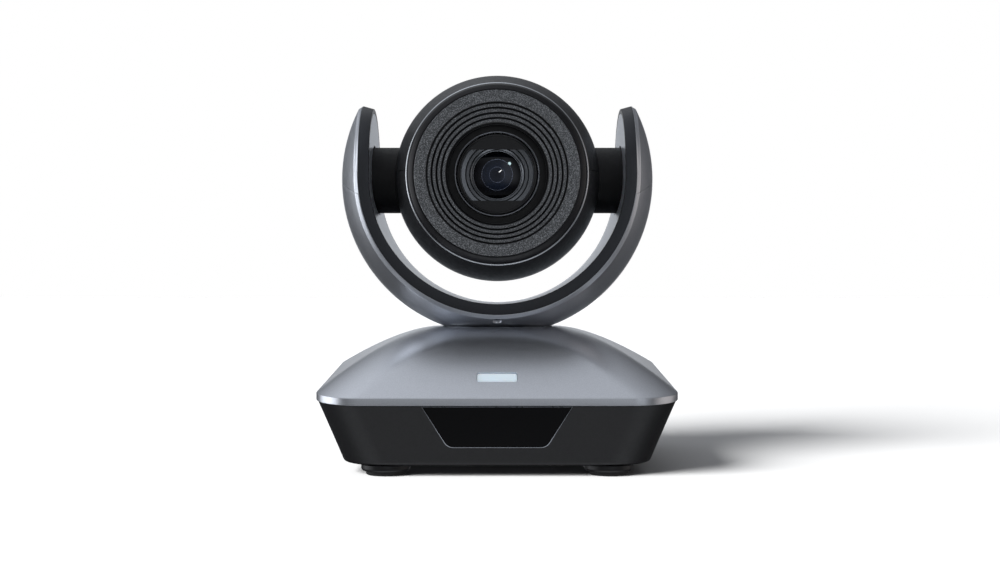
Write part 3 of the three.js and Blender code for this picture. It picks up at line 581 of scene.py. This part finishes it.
def top_cover():
    """The cover as one closed loft: up the rim's face, over the dome, into the neck and back down
    inside, with a pocket for the window."""
    shares = np.linspace(0, 1, 49)
    edge = [(0.25, RIM_HEIGHT), (0.07, RIM_HEIGHT - 0.06), (0, RIM_HEIGHT - 0.22), (0, 1.5), (0, 0.25),
            (0.04, 0.08)]
    rings = [rim_ring(WALL, RIM_HEIGHT)] + [rim_ring(*step) for step in edge]
    rings += [dome_ring(t) for t in np.maximum(shares, 0.006)]
    lip = ((NECK_HOLE + 0.2, NECK_Z), (NECK_HOLE, NECK_Z - 0.2), (NECK_HOLE, NECK_Z - 2))
    rings += [neck_ring(*step) for step in lip]
    rings += [dome_ring(t, 1.7, 1.9) for t in shares[:0:-4]]
    rings += [dome_ring(0, WALL, 1.2)]
    cover = surface("base_cover", np.stack(rings))
    pocket = slab("cutter", rounded_bar(WINDOW_WIDTH, WINDOW_LENGTH, 1.1), -4, 4, on_dome)
    return carve(cover, pocket)


cover = fit(ease_edges(top_cover(), 0.12, 2, 50), silver, "base", ["base_top_cover"])
print("cover faces:", len(cover.data.polygons))


# %% Status window
def window_piece():
    """A frosted bar at the bottom of its pocket, slightly domed at its edges."""
    outline = rounded_bar(WINDOW_WIDTH - 0.3, WINDOW_LENGTH - 0.3, 1.0)
    return slab("status_window_bar", outline, -2.6, -0.75, on_dome)


# The bar's finish carries a painted glow: it shines by emission, not as a lamp.
fit(ease_edges(window_piece(), 0.3, 3), frosted, "base", ["status_window"])

# %% [markdown]
# ## The lower housing
# A black tub that tapers inwards towards the floor. It is the same kind of loft as the dome: rings
# of a rounded rectangle that shrink on the way down, with a soft turn at the bottom edge. A trapezoid
# of gloss black is let into its front, and the connector panel into its back.

# %% Housing
TOP_INSET, TAPER, BOTTOM_Z, GAP = 0.6, 10.0, 4.6, 0.3
TOP_HALF_WIDTH, TOP_HALF_DEPTH = HALF_WIDTH - TOP_INSET, HALF_DEPTH - TOP_INSET


def housing_ring(share, inset=0.0):
    """Ring of the housing, share 0 at its top edge and 1 at the bottom."""
    taper = TAPER * share + inset
    ring = section(TOP_HALF_WIDTH - taper, TOP_HALF_DEPTH - taper, CORNER - TOP_INSET - inset)
    top = rim_top(ring[:, 1]) - RIM_HEIGHT - 0.12
    return np.column_stack([ring, top + (BOTTOM_Z - top) * share])


def wall_frame(side):
    """Placer for grids drawn flat on the sloping front (-1) or rear (1) wall: x across, y up, z out."""
    top = rim_top(side * HALF_DEPTH) - RIM_HEIGHT - GAP
    lean = np.arctan(TAPER / (top - BOTTOM_Z))
    c, s = np.cos(lean), np.sin(lean)

    def place(grid):
        across, up, out = grid[..., 0], grid[..., 1], grid[..., 2]
        y = side * (TOP_HALF_DEPTH + up * s + out * c)
        return np.stack([-side * across, y, top + up * c - out * s], -1)

    return place


on_front, on_rear = wall_frame(-1), wall_frame(1)
PANEL_TOP, PANEL_BOTTOM, PANEL_LENGTH, PANEL_CORNER = 60.9, 40.4, 18.6, 2.6
REAR_WIDTH, REAR_LENGTH, REAR_MIDDLE = 104.3, 19.3, -21


def trapezoid(grow, top_edge):
    """Outline of the gloss panel: two straight slopes and rounded lower corners."""
    half_top, half_low, low_edge = PANEL_TOP / 2 + grow, PANEL_BOTTOM / 2 + grow, -PANEL_LENGTH - grow
    slope = (half_top - half_low) / PANEL_LENGTH
    wide = half_top + slope * top_edge
    corners = np.array([[-wide, top_edge], [-half_low, low_edge], [half_low, low_edge], [wide, top_edge]])
    rounded = soften(corners, PANEL_CORNER, 6).reshape(4, -1, 2)
    return np.concatenate([corners[:1], rounded[1], rounded[2], corners[3:]])


def lower_housing():
    """The tub as one closed loft: down the outside, round the bottom edge on a quarter turn and up
    inside, with a pocket for the gloss panel and an opening for the connector panel."""
    turn = np.linspace(0, 1, 7)
    lower = [(0.955 + 0.045 * np.sin(a), 1.6 * (1 - np.cos(a))) for a in turn * np.pi / 2]
    rings = [housing_ring(0, WALL), housing_ring(0, 0.15), housing_ring(0.006)]
    rings += [housing_ring(s) for s in np.linspace(0.05, 0.93, 8)]
    rings += [housing_ring(s, i) for s, i in lower]
    rings += [housing_ring(1, 3.0), housing_ring(0.9, WALL)]
    tub = surface("lower_housing", np.stack(rings))
    pocket = slab("cutter", trapezoid(0.12, 3.0), -0.9, 4, on_front)
    opening = slab("cutter", rounded_bar(REAR_WIDTH, REAR_LENGTH, 2.1) + [0, REAR_MIDDLE], -6, 4, on_rear)
    return carve(tub, pocket, opening)


tub = ease_edges(lower_housing(), 0.15, 2, 40)
fit(tub, housing_black, "base", ["base_lower_housing"])
panel = slab("gloss_panel", trapezoid(-0.18, -0.33), -0.8, 0.12, on_front)
fit(ease_edges(panel, 0.06, 2), panel_gloss, "base", ["front_panel"])


def painted_panel_highlight():
    """Thin pale strip round the panel, a painted highlight along its edge: the strip between the outline and
    itself moved inwards.
    """
    ring = [(trapezoid(0.1, -0.05), -0.4), (trapezoid(0.1, -0.05), 0.1), (trapezoid(-0.1, -0.25), 0.16),
            (trapezoid(-0.16, -0.31), -0.4)]
    grid = np.stack([np.column_stack([flat, np.full(len(flat), z)]) for flat, z in ring])
    return surface("panel_painted_highlight_line", on_front(grid))


# The strip's lighter metal is a painted highlight along the gloss panel's edge.
fit(painted_panel_highlight(), barrel_grey, "base")
print("housing faces:", len(tub.data.polygons))

# %% [markdown]
# ## Feet
# Each foot is a black cup with a rubber pad under it, both turned shapes, so one profile each.

# %% Feet
PAD_HOLLOW, CUP_SINK = 0.35, 0.2


def foot(corner, steps=72):
    """One foot: a cup that reaches a little into the housing, and a pad with a shallow hollow."""
    low, high = (np.array(c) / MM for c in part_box(f"foot_cup_{corner}"))
    centre = ((low[0] + high[0]) / 2, (low[1] + high[1]) / 2, 0)
    radius, top, step = (high[0] - low[0]) / 2, high[2] + CUP_SINK, low[2]
    outline = [[0, step], [radius - 0.5, step], [radius, step + 0.8], [radius, top], [0, top]]
    profile = soften(outline, 0.3)
    profile[:, 0] = np.maximum(profile[:, 0], 0)
    cup = turned(f"cup_{corner}", profile, centre=centre, steps=steps)
    fit(cup, housing_black, "base", [f"foot_cup_{corner}"])
    low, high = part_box(f"foot_pad_{corner}")
    radius = (high[0] - low[0]) / MM / 2
    profile = [[0, PAD_HOLLOW], [3, PAD_HOLLOW], [3.4, 0], [radius - 0.5, 0], [radius, 0.5], [radius, step],
               [0, step]]
    pad = turned(f"pad_{corner}", profile, centre=centre, steps=steps)
    fit(pad, rubber, "base", [f"foot_pad_{corner}"])
    return centre


feet = [foot(corner) for corner in ("front_left", "front_right", "rear_left", "rear_right")]
print("feet at", [tuple(round(float(c), 1) for c in centre[:2]) for centre in feet])

# %% [markdown]
# ## The yoke
# The yoke is a U with a crowned outside. Below the tilt axis everything is round about the lens
# axis; above it the arms go straight up, and in side view they end in a half circle. Its skin is
# described by one height function: how far the outside stands off at a depth y and a height z. The
# lower shell and the two arm caps use the same function, so they meet without a step.

# %% Yoke sizes and the crown
INNER, EDGE, CHAMFER, CROWN, HALF, CROWN_HALF = 55.1, 59.75, 61.5, 8.0, 31.0, 30.0
FLOOR_Z, SEAM_TOP, SEAM_DROP, ARM_TOP, TOP_SLANT = -65.2, -1.5, 6.3, 33.2, 1.3
SKIN_EDGE = EDGE + GAP / 2
INNER_SHARE = (HALF - 2.0) / HALF  # the inside of a skin is this much narrower than its outside


def crown_radius(y):
    """Outer radius at depth y: a shallow parabola on top of the chamfer's radius."""
    return CHAMFER + CROWN * (1 - (y / CROWN_HALF) ** 2)


def depth_samples(steps=44):
    """Depths from front to rear, closer together at both edges, with the chamfers' ends among them."""
    curve = -CROWN_HALF * np.cos(np.linspace(0, np.pi, steps))
    chamfer = np.linspace(HALF, CROWN_HALF, 5)[:-1]
    return np.concatenate([-chamfer, curve, chamfer[::-1]])


def seam_height(y):
    """The arched seam under the arm caps."""
    return SEAM_TOP - SEAM_DROP * (y / HALF) ** 2


def skin_radius(y, b, inset):
    """Outer radius with its chamfer: straight from the edge's radius to the crown over the first
    millimetre b from the edge, then the crown, moved in by inset."""
    share = np.clip(b, 0, 1)
    crown = crown_radius(np.clip(y, -CROWN_HALF, CROWN_HALF))
    return SKIN_EDGE * (1 - share) + crown * share - inset


def closed_shell(name, outer, inner):
    """Closed shell between two grids: their borders are joined, and both ends are drawn together."""
    loop = np.concatenate([outer, inner[:, ::-1]], 1)
    ends = (outer + inner) / 2
    cap = lambda row: np.concatenate([ends[row], ends[row][::-1]])[None]
    return surface(name, np.concatenate([cap(0), loop, cap(-1)]), close_rows=False)


# %% Lower shell of the yoke
def lower_skin(inset):
    """Grid over the lower U: an angle from seam to seam at each depth, at the skin's radius."""
    y = depth_samples()
    radius = skin_radius(y, HALF - np.abs(y), inset)
    start = np.pi - np.arcsin((seam_height(y) - GAP / 4) / crown_radius(y))
    share = np.linspace(0, 1, 181)[:, None]
    angle = start + (3 * np.pi - 2 * start) * share
    height = np.maximum(radius * np.sin(angle), FLOOR_Z + inset)
    return np.stack([radius * np.cos(angle), y + 0 * angle, TILT_Z + height], -1)


def yoke_lower():
    """The lower shell: the skin, and the same skin moved in by the wall and made narrower."""
    inner = lower_skin(WALL)
    inner[..., 1] *= INNER_SHARE
    return closed_shell("yoke_lower_shell", lower_skin(0.0), inner)


shell = fit(ease_edges(yoke_lower(), 0.12, 2, 40), silver, "yoke", ["yoke_outer_shell"])
print("yoke shell faces:", len(shell.data.polygons))


# %% Arm caps
def cap_skin(side, inset, shrink=1.0):
    """Grid over one arm cap: columns at constant depth from the seam up to the half ellipse, with
    rows closer together near its top. The last millimetre to the edge is the chamfer."""
    y = depth_samples()[None]
    share = 1 - (1 - np.linspace(0, 1, 70)[:, None]) ** 2
    low, top = seam_height(y) + GAP / 4, ARM_TOP * np.sqrt(np.maximum(1 - (y / HALF) ** 2, 0))
    z = low + (top - low) * share
    edge = HALF - HALF * np.hypot(y / HALF, np.maximum(z, 0) / ARM_TOP)
    straight = np.sqrt(crown_radius(np.clip(y, -CROWN_HALF, CROWN_HALF)) ** 2 - z ** 2)
    flat = np.where(z > 0, SKIN_EDGE, np.sqrt(SKIN_EDGE ** 2 - np.minimum(z, 0) ** 2))
    blend = np.clip(edge, 0, 1)
    x = flat * (1 - blend) + straight * blend - inset
    return np.stack([side * x, y * shrink + 0 * z, TILT_Z + z * shrink], -1)


for side, hand in ((1, "left"), (-1, "right")):
    cap = closed_shell(f"arm_cap_skin_{hand}", cap_skin(side, 0.0), cap_skin(side, WALL, INNER_SHARE))
    fit(ease_edges(cap, 0.15, 2, 40), silver, "yoke", [f"arm_cap_{hand}"])


# %% Edge frame
def edge_path(steps=90):
    """Closed path along the yoke's edge. Returns points at the inner radius and two directions:
    out, away from the head, and in, from the edge into the yoke's depth."""
    sweep = np.linspace(np.pi, 2 * np.pi, 2 * steps, endpoint=False)
    tip = np.linspace(0, np.pi, steps, endpoint=False)
    zero = 0 * sweep
    front = (np.stack([INNER * np.cos(sweep), zero - HALF, INNER * np.sin(sweep)], -1),
             np.stack([np.cos(sweep), zero, np.sin(sweep)], -1), np.stack([zero, zero + 1, zero], -1))
    arc = np.stack([0 * tip, -np.cos(tip), np.sin(tip)], -1)
    right = (arc * [0, HALF, ARM_TOP] + [INNER, 0, 0], arc * 0 + [1, 0, 0], -arc)
    turned_round = lambda part: [a * [-1, -1, 1] for a in part]
    parts = [front, right, turned_round(front), turned_round(right)]
    return [np.concatenate([part[i] for part in parts]) for i in range(3)]


def edge_band(name, outline):
    """Carries an outline of (out, in) distances along the yoke's edge. Above the tilt axis the
    inside of the band stays lower than its outside, so the tips of the arms slant inwards."""
    path, out, inward = edge_path()
    a, b = np.array(outline, float).T
    grid = path[:, None] + out[:, None] * a[None, :, None] + inward[:, None] * b[None, :, None]
    lower = 1 - TOP_SLANT / ARM_TOP * (1 - a / a.max())
    grid[..., 2] *= np.where(grid[..., 2] > 0, lower, 1)
    return surface(name, grid + [0, 0, TILT_Z])


BAND, BAND_DEPTH = EDGE - INNER, 2.1
band_outline = soften([[0, 0], [BAND, 0], [BAND, BAND_DEPTH], [0, BAND_DEPTH]], 0.25, 3)
band = edge_band("yoke_edge_band", band_outline)
fit(band, edge_grey, "yoke", ["yoke_edge_frame"])
print("edge band faces:", len(band.data.polygons))


# %% Inner liner
def liner_skin(radius, half, top):
    """Grid over the inside of the U: down one arm, round the bottom and up the other. The arms end
    in half ellipses of height top."""
    rise = np.linspace(np.pi / 2, 0, 40)
    turn = np.linspace(np.pi, 2 * np.pi, 140)[1:-1]
    x = np.concatenate([-radius + 0 * rise, radius * np.cos(turn), radius + 0 * rise])
    z = np.concatenate([top * np.sin(rise), radius * np.sin(turn), top * np.sin(rise[::-1])])
    depth = np.concatenate([half * np.cos(rise), half + 0 * turn, half * np.cos(rise[::-1])])
    share = np.sin(np.linspace(-np.pi / 2, np.pi / 2, 33))
    return np.stack([x[:, None] + 0 * share, depth[:, None] * share, TILT_Z + z[:, None] + 0 * share], -1)


def inner_liner():
    """The liner lies inside the band's depth, and is bored for the trunnions."""
    half, top = HALF - BAND_DEPTH, ARM_TOP - TOP_SLANT - BAND_DEPTH
    liner = closed_shell("yoke_liner", liner_skin(INNER, half, top), liner_skin(INNER + 2, half, top))
    return carve(liner, rod("cutter", 15.6, -80, 80, "x", (0, 0, TILT_Z)))


fit(inner_liner(), liner_grey, "yoke", ["yoke_inner_liner"])

# %% Turntable and the screw in the crown
low, high = (np.array(c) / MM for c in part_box("pan_turntable"))
table = soften([[4.5, low[2]], [8, low[2]], [8, 51], [13, 51], [13, 56.4], [high[0], 56.4],
                [high[0], high[2]], [4.5, high[2]]], 0.25)
fit(turned("turntable", table), silver, "yoke", ["pan_turntable"])
neck_line = [(22.4, 60.14), (24.5, 60.14), (24.6, 60.24), (24.5, 60.36), (22.4, 60.36)]
fit(turned("turntable_edge", neck_line), polished, "yoke", ["pan_turntable"])

SCREW_Y, SCREW_Z = -27.9, -62.6
SCREW_LEAN = np.arctan2(2 * CROWN * -SCREW_Y / CROWN_HALF ** 2, 1)


def on_crown(grid):
    """Stands a shape that is turned about Z on the crown's underside, its own top facing out."""
    c, s = np.cos(np.pi - SCREW_LEAN), np.sin(np.pi - SCREW_LEAN)
    y, z = grid[..., 1], grid[..., 2]
    return np.stack([grid[..., 0], y * c - z * s + SCREW_Y, y * s + z * c + TILT_Z + SCREW_Z], -1)


hole = [[0, -1.6], [2.0, -1.6], [2.0, -0.2], [2.35, 0.15], [2.35, 2], [0, 2]]
carve(shell, turned("cutter", hole, steps=64, place=on_crown))
screw_head = [[0, -1.9], [1.9, -1.9], [1.9, -1.3], [1.75, -1.05], [1.2, -0.85], [0, -0.8]]
screw = turned("crown_screw", screw_head, steps=64, place=on_crown)
hexagon = [[0, -1.5], [0.85, -1.5], [0.85, 1], [0, 1]]
carve(screw, turned("cutter", hexagon, steps=6, place=on_crown))
fit(screw, polished, "yoke", ["yoke_set_screw"])

# %% [markdown]
# ## The head
# The head is round about the lens axis: an ellipse in front of its widest place, and a fuller curve
# behind. It is turned in one, hollowed, bored for the trunnions and then cut at the seam, so that
# both halves keep the same curve.

# %% Head shells
HEAD_RADIUS, WIDEST_Y, FRONT_Y, BACK_Y, SPLIT_Z = 45.3, -7.0, -38.0, 42.0, 2.0
FRONT_REACH, BACK_POWER, FAR = 59.2, 2.4, 60


def head_curve(inset, front, steps=48):
    """Profile of the head as [radius, y]: an ellipse in front, a power curve behind."""
    ahead = np.linspace(front, WIDEST_Y, 18)[:-1]
    radius_ahead = (HEAD_RADIUS - inset) * np.sqrt(1 - ((ahead - WIDEST_Y) / FRONT_REACH) ** 2)
    reach = BACK_Y - inset - WIDEST_Y
    share = np.sin(np.linspace(0, np.pi / 2, steps))
    radius_behind = (HEAD_RADIUS - inset) * np.maximum(1 - share ** BACK_POWER, 0) ** (1 / BACK_POWER)
    behind = WIDEST_Y + reach * share
    return np.column_stack([np.concatenate([radius_ahead, radius_behind]), np.concatenate([ahead, behind])])


def head_half(name, side):
    """The upper (1) or lower (-1) shell: a hollow turned body, cut at the seam and bored across."""
    outer, inner = head_curve(0, FRONT_Y), head_curve(WALL, FRONT_Y)
    half = turned(name, np.concatenate([outer, inner[::-1]]), "y", HEAD, 200)
    edge = SPLIT_Z + side * 0.1 + TILT_Z
    below, above = sorted((edge, edge + side * FAR))
    carve(half, box_cutter((-FAR, -FAR, below), (FAR, FAR, above)), operation="INTERSECT")
    return carve(half, rod("cutter", 15.0, -FAR, FAR, "x", HEAD))


for side, part in ((1, "upper"), (-1, "lower")):
    half = head_half(f"head_{part}_skin", side)
    fit(ease_edges(half, 0.12, 2, 40), charcoal, "head", [f"head_{part}_shell"])

# %% Seam ring and bezel
ring = soften([[36.2, -38.1], [38.75, -38.1], [38.7, -38.8], [38.3, -39.05], [36.2, -39.1]], 0.1, 3)
fit(turned("front_seam_ring", ring, "y", HEAD, 240), polished, "head", ["seam_ring"])
bezel = soften([[35.1, -39.2], [38.2, -39.2], [38.15, -40.6], [37.2, -42.3], [35.7, -43.3],
                [35.1, -43.5]], 0.5, 4)
fit(turned("bevel_ring", bezel, "y", HEAD, 240), bezel_black, "head", ["front_bezel"])

# %% [markdown]
# ## Face plate and lens
# The face plate is a flat grained ring, then a funnel of ridges with deep grooves between them, then
# a dark tunnel with fine threads. The profile is made by a small loop that adds one groove and one
# ridge at a time. The lens sits at the bottom of the tunnel behind a flat-sided hood.

# %% Face plate and its ridges
FACE_Y, FACE_RADIUS, RIDGE_OUTER, PITCH, RIDGES = -43.9, 34.9, 30.0, 2.02, 4
STEP_BACK, GROOVE_WIDTH = 0.95, 0.78


def ridge_face(i):
    """Front of ring i: the plate is ring 0, and each ridge stands one step further back."""
    return FACE_Y + STEP_BACK * i


plate = [[30.9, -40.4], [FACE_RADIUS, -40.4], [FACE_RADIUS, FACE_Y + 0.2], [FACE_RADIUS - 0.2, FACE_Y],
         [RIDGE_OUTER + 0.12, FACE_Y], [RIDGE_OUTER, FACE_Y + 0.12], [RIDGE_OUTER, FACE_Y + 1.9]]
fit(turned("ridged_face", plate, "y", HEAD, 240), face_grain, "head", ["face_plate"])
for i in range(1, RIDGES + 1):
    outer, front = RIDGE_OUTER - PITCH * (i - 1) - GROOVE_WIDTH, ridge_face(i)
    inner = RIDGE_OUTER - PITCH * i
    ridge = [[inner, front + 0.18], [inner + 0.12, front + 0.06], [outer - 0.12, front],
             [outer, front + 0.12], [outer, front + 1.9], [inner, front + 1.9]]
    fit(turned(f"ridge_{i}", ridge, "y", HEAD, 240), face_grain, "head")


# %% Funnel and tunnel behind the ridges
def funnel_profile():
    """Stepped cone about a millimetre behind the ridges, then a tunnel with fine threads, closed at
    its far end by a collar round the barrel."""
    points = [[30.6, -40.5], [RIDGE_OUTER, ridge_face(0) + 1.6]]
    for i in range(1, RIDGES + 1):
        points += [[RIDGE_OUTER - PITCH * (i - 1) - GROOVE_WIDTH, ridge_face(i) + 1.0],
                   [RIDGE_OUTER - PITCH * i, ridge_face(i) + 1.0]]
    lip = RIDGE_OUTER - PITCH * RIDGES - GROOVE_WIDTH
    tunnel = lip - 0.3
    front = ridge_face(RIDGES + 1)
    points += [[lip, front + 0.6], [lip, front + 0.08], [lip - 0.12, front], [tunnel, front + 0.08]]
    for i in range(8):
        y = front + 0.35 + 0.62 * i
        points += [[tunnel, y], [tunnel + 0.25, y + 0.31]]
    collar = [[tunnel, -34.4], [18.15, -34.4], [18.15, -33.4], [tunnel + 2, -33.4], [tunnel + 2, -35]]
    return points + collar


fit(turned("face_funnel", funnel_profile(), "y", HEAD, 240), lens_black, "head")

# %% Lens barrel
barrel = soften([[17.2, -38.4], [17.55, -39.4], [17.85, -39.5], [18, -39.2], [18, -16], [13, -16], [13, -28],
                 [9.8, -28], [9.8, -30.6], [17.2, -30.6]], 0.1, 2)
fit(turned("barrel", barrel, "y", HEAD, 200), barrel_grey, "head", ["lens_barrel"])


# %% Hood with flats
def hood():
    """Disc with a raised lip, and a round opening that is cut flat above and below."""
    lip = [[0, -37.9], [16.1, -37.9], [16.3, -38.5], [16.55, -38.7], [16.9, -38.5], [16.9, -36.9], [0, -36.9]]
    plate = turned("flat_hood", lip, "y", HEAD, 200)
    opening = rod("cutter", 15.6, -45, -30, "y", HEAD, steps=200)
    carve(opening, box_cutter((-20, -50, TILT_Z - 11.2), (20, -20, TILT_Z + 10.4)), operation="INTERSECT")
    return carve(plate, opening)


fit(ease_edges(hood(), 0.22, 3), lens_black, "head", ["lens_hood"])


# %% Stepped cell
def cell_profile():
    """Steps down towards the glass: flat rings with a dark groove of 0.4 mm between them."""
    points = [[16.7, -30.8], [16.7, -36.6], [15.5, -36.6]]
    for outer, inner, y in ((15.4, 13.6, -36.2), (13.2, 11.9, -35.3), (11.5, 10.7, -34.4)):
        points += [[outer, y + 0.9], [outer, y], [outer - 0.2, y - 0.12], [inner, y + 0.35], [inner, y + 1.2]]
    return points + [[10.6, -33.0], [10.6, -30.8]]


cell = turned("stepped_cell", cell_profile(), "y", HEAD, 200)
fit(cell, cell_satin, "head", ["lens_retainer"])


# %% Glass
def glass_cap(radius, sag, pole, back):
    """Closed profile of a lens: a parabola of the given sag on a flat back."""
    share = np.linspace(1, 0, 24)
    front = np.column_stack([radius * share, pole + sag * share ** 2])
    return np.concatenate([[[0, back], [radius, back]], front])


def hoop(name, radius, y, thickness, material):
    """Thin ring of round section about the lens axis."""
    turn = np.linspace(0, 2 * np.pi, 10, endpoint=False)
    section_points = np.column_stack([radius + thickness * np.cos(turn), y + thickness * np.sin(turn)])
    return fit(turned(name, section_points, "y", HEAD, 160), material, "head")


glass = turned("front_glass", glass_cap(10.3, 1.9, -34.9, -32.9), "y", HEAD, 160)
fit(glass, coated_glass, "head", ["front_lens"])
hoop("glass_rim", 10.35, -33.1, 0.2, barrel_grey)
hoop("second_element", 6.6, -34.12, 0.1, iris_blue)
hoop("iris_ring", 3.3, -34.69, 0.08, iris_blue)


# %% Two small lamps that only the glass sees
LAMP_DISTANCE = 400


def glint(name, direction, size, watts, colour, roll=0.0):
    """Small lamp at a fixed distance from the lens, linked to the glass alone: one crisp glint."""
    data = bpy.data.lights.new(name, "AREA")
    data.shape, data.size, data.size_y = "ELLIPSE", size[0] * MM, size[1] * MM
    data.energy, data.color = watts, colour
    lamp = bpy.data.objects.new(name, data)
    way = Vector(direction).normalized()
    lamp.location = (Vector((0, -35, TILT_Z)) + LAMP_DISTANCE * way) * MM
    lamp.rotation_euler = (Quaternion(way, roll) @ (-way).to_track_quat("-Z", "Y")).to_euler()
    lamp.visible_camera = False
    lamp.light_linking.receiver_collection = glass_only
    bpy.context.scene.collection.objects.link(lamp)


glass_only = bpy.data.collections.new("glass_only")
glass_only.objects.link(glass)
glint("round_glint", (0.363, -0.84, 0.41), (38, 38), 0.12, (0.7, 0.95, 1.0))
glint("long_glint", (0.10, -0.98, 0.19), (7, 48), 0.07, (1, 1, 1), np.radians(-50))

# %% Trunnions
for side, hand in ((1, "left"), (-1, "right")):
    profile = np.array([[0, 33.4], [13, 33.4], [13, 36], [14.7, 38], [14.7, 57.8], [5, 57.8], [5, 63.6],
                        [0, 63.6]])
    profile[:, 1] *= side
    fit(turned(f"trunnion_{hand}_turned", profile, "x", HEAD, 120), trunnion_black, "head",
        [f"trunnion_{hand}"])

# %% [markdown]
# ## Finishes of the pieces that stay as CAD
# The drive, the boards and the lens carriage keep their CAD shapes and only need their finishes.

# %% CAD nodes
kept = {
    steel: ["pan_bracket", "pan_motor", "pan_bearing", "shaft_collar", "tilt_bearing_left",
            "tilt_bearing_right", "tilt_motor_rotor", "head_chassis", "camera_module_frame", "guide_rod_1",
            "guide_rod_2", "usb_port"],
    brass: ["tripod_insert", "pan_pinion", "tilt_motor_stator"],
    board: ["main_board", "sensor_board"],
    white_plastic: ["pan_gear", "dip_lever_1", "dip_lever_2"],
    charcoal: ["dc_jack", "serial_in_socket", "serial_out_socket", "dip_switch_body", "zoom_lens_group",
               "focus_lens_group"],
    housing_black: ["rear_panel"],
    edge_grey: ["bottom_plate"],
}
for material, names in kept.items():
    for name in names:
        nodes[name].data.materials.clear()
        nodes[name].data.materials.append(material)
print("CAD nodes kept:", sum(len(names) for names in kept.values()))
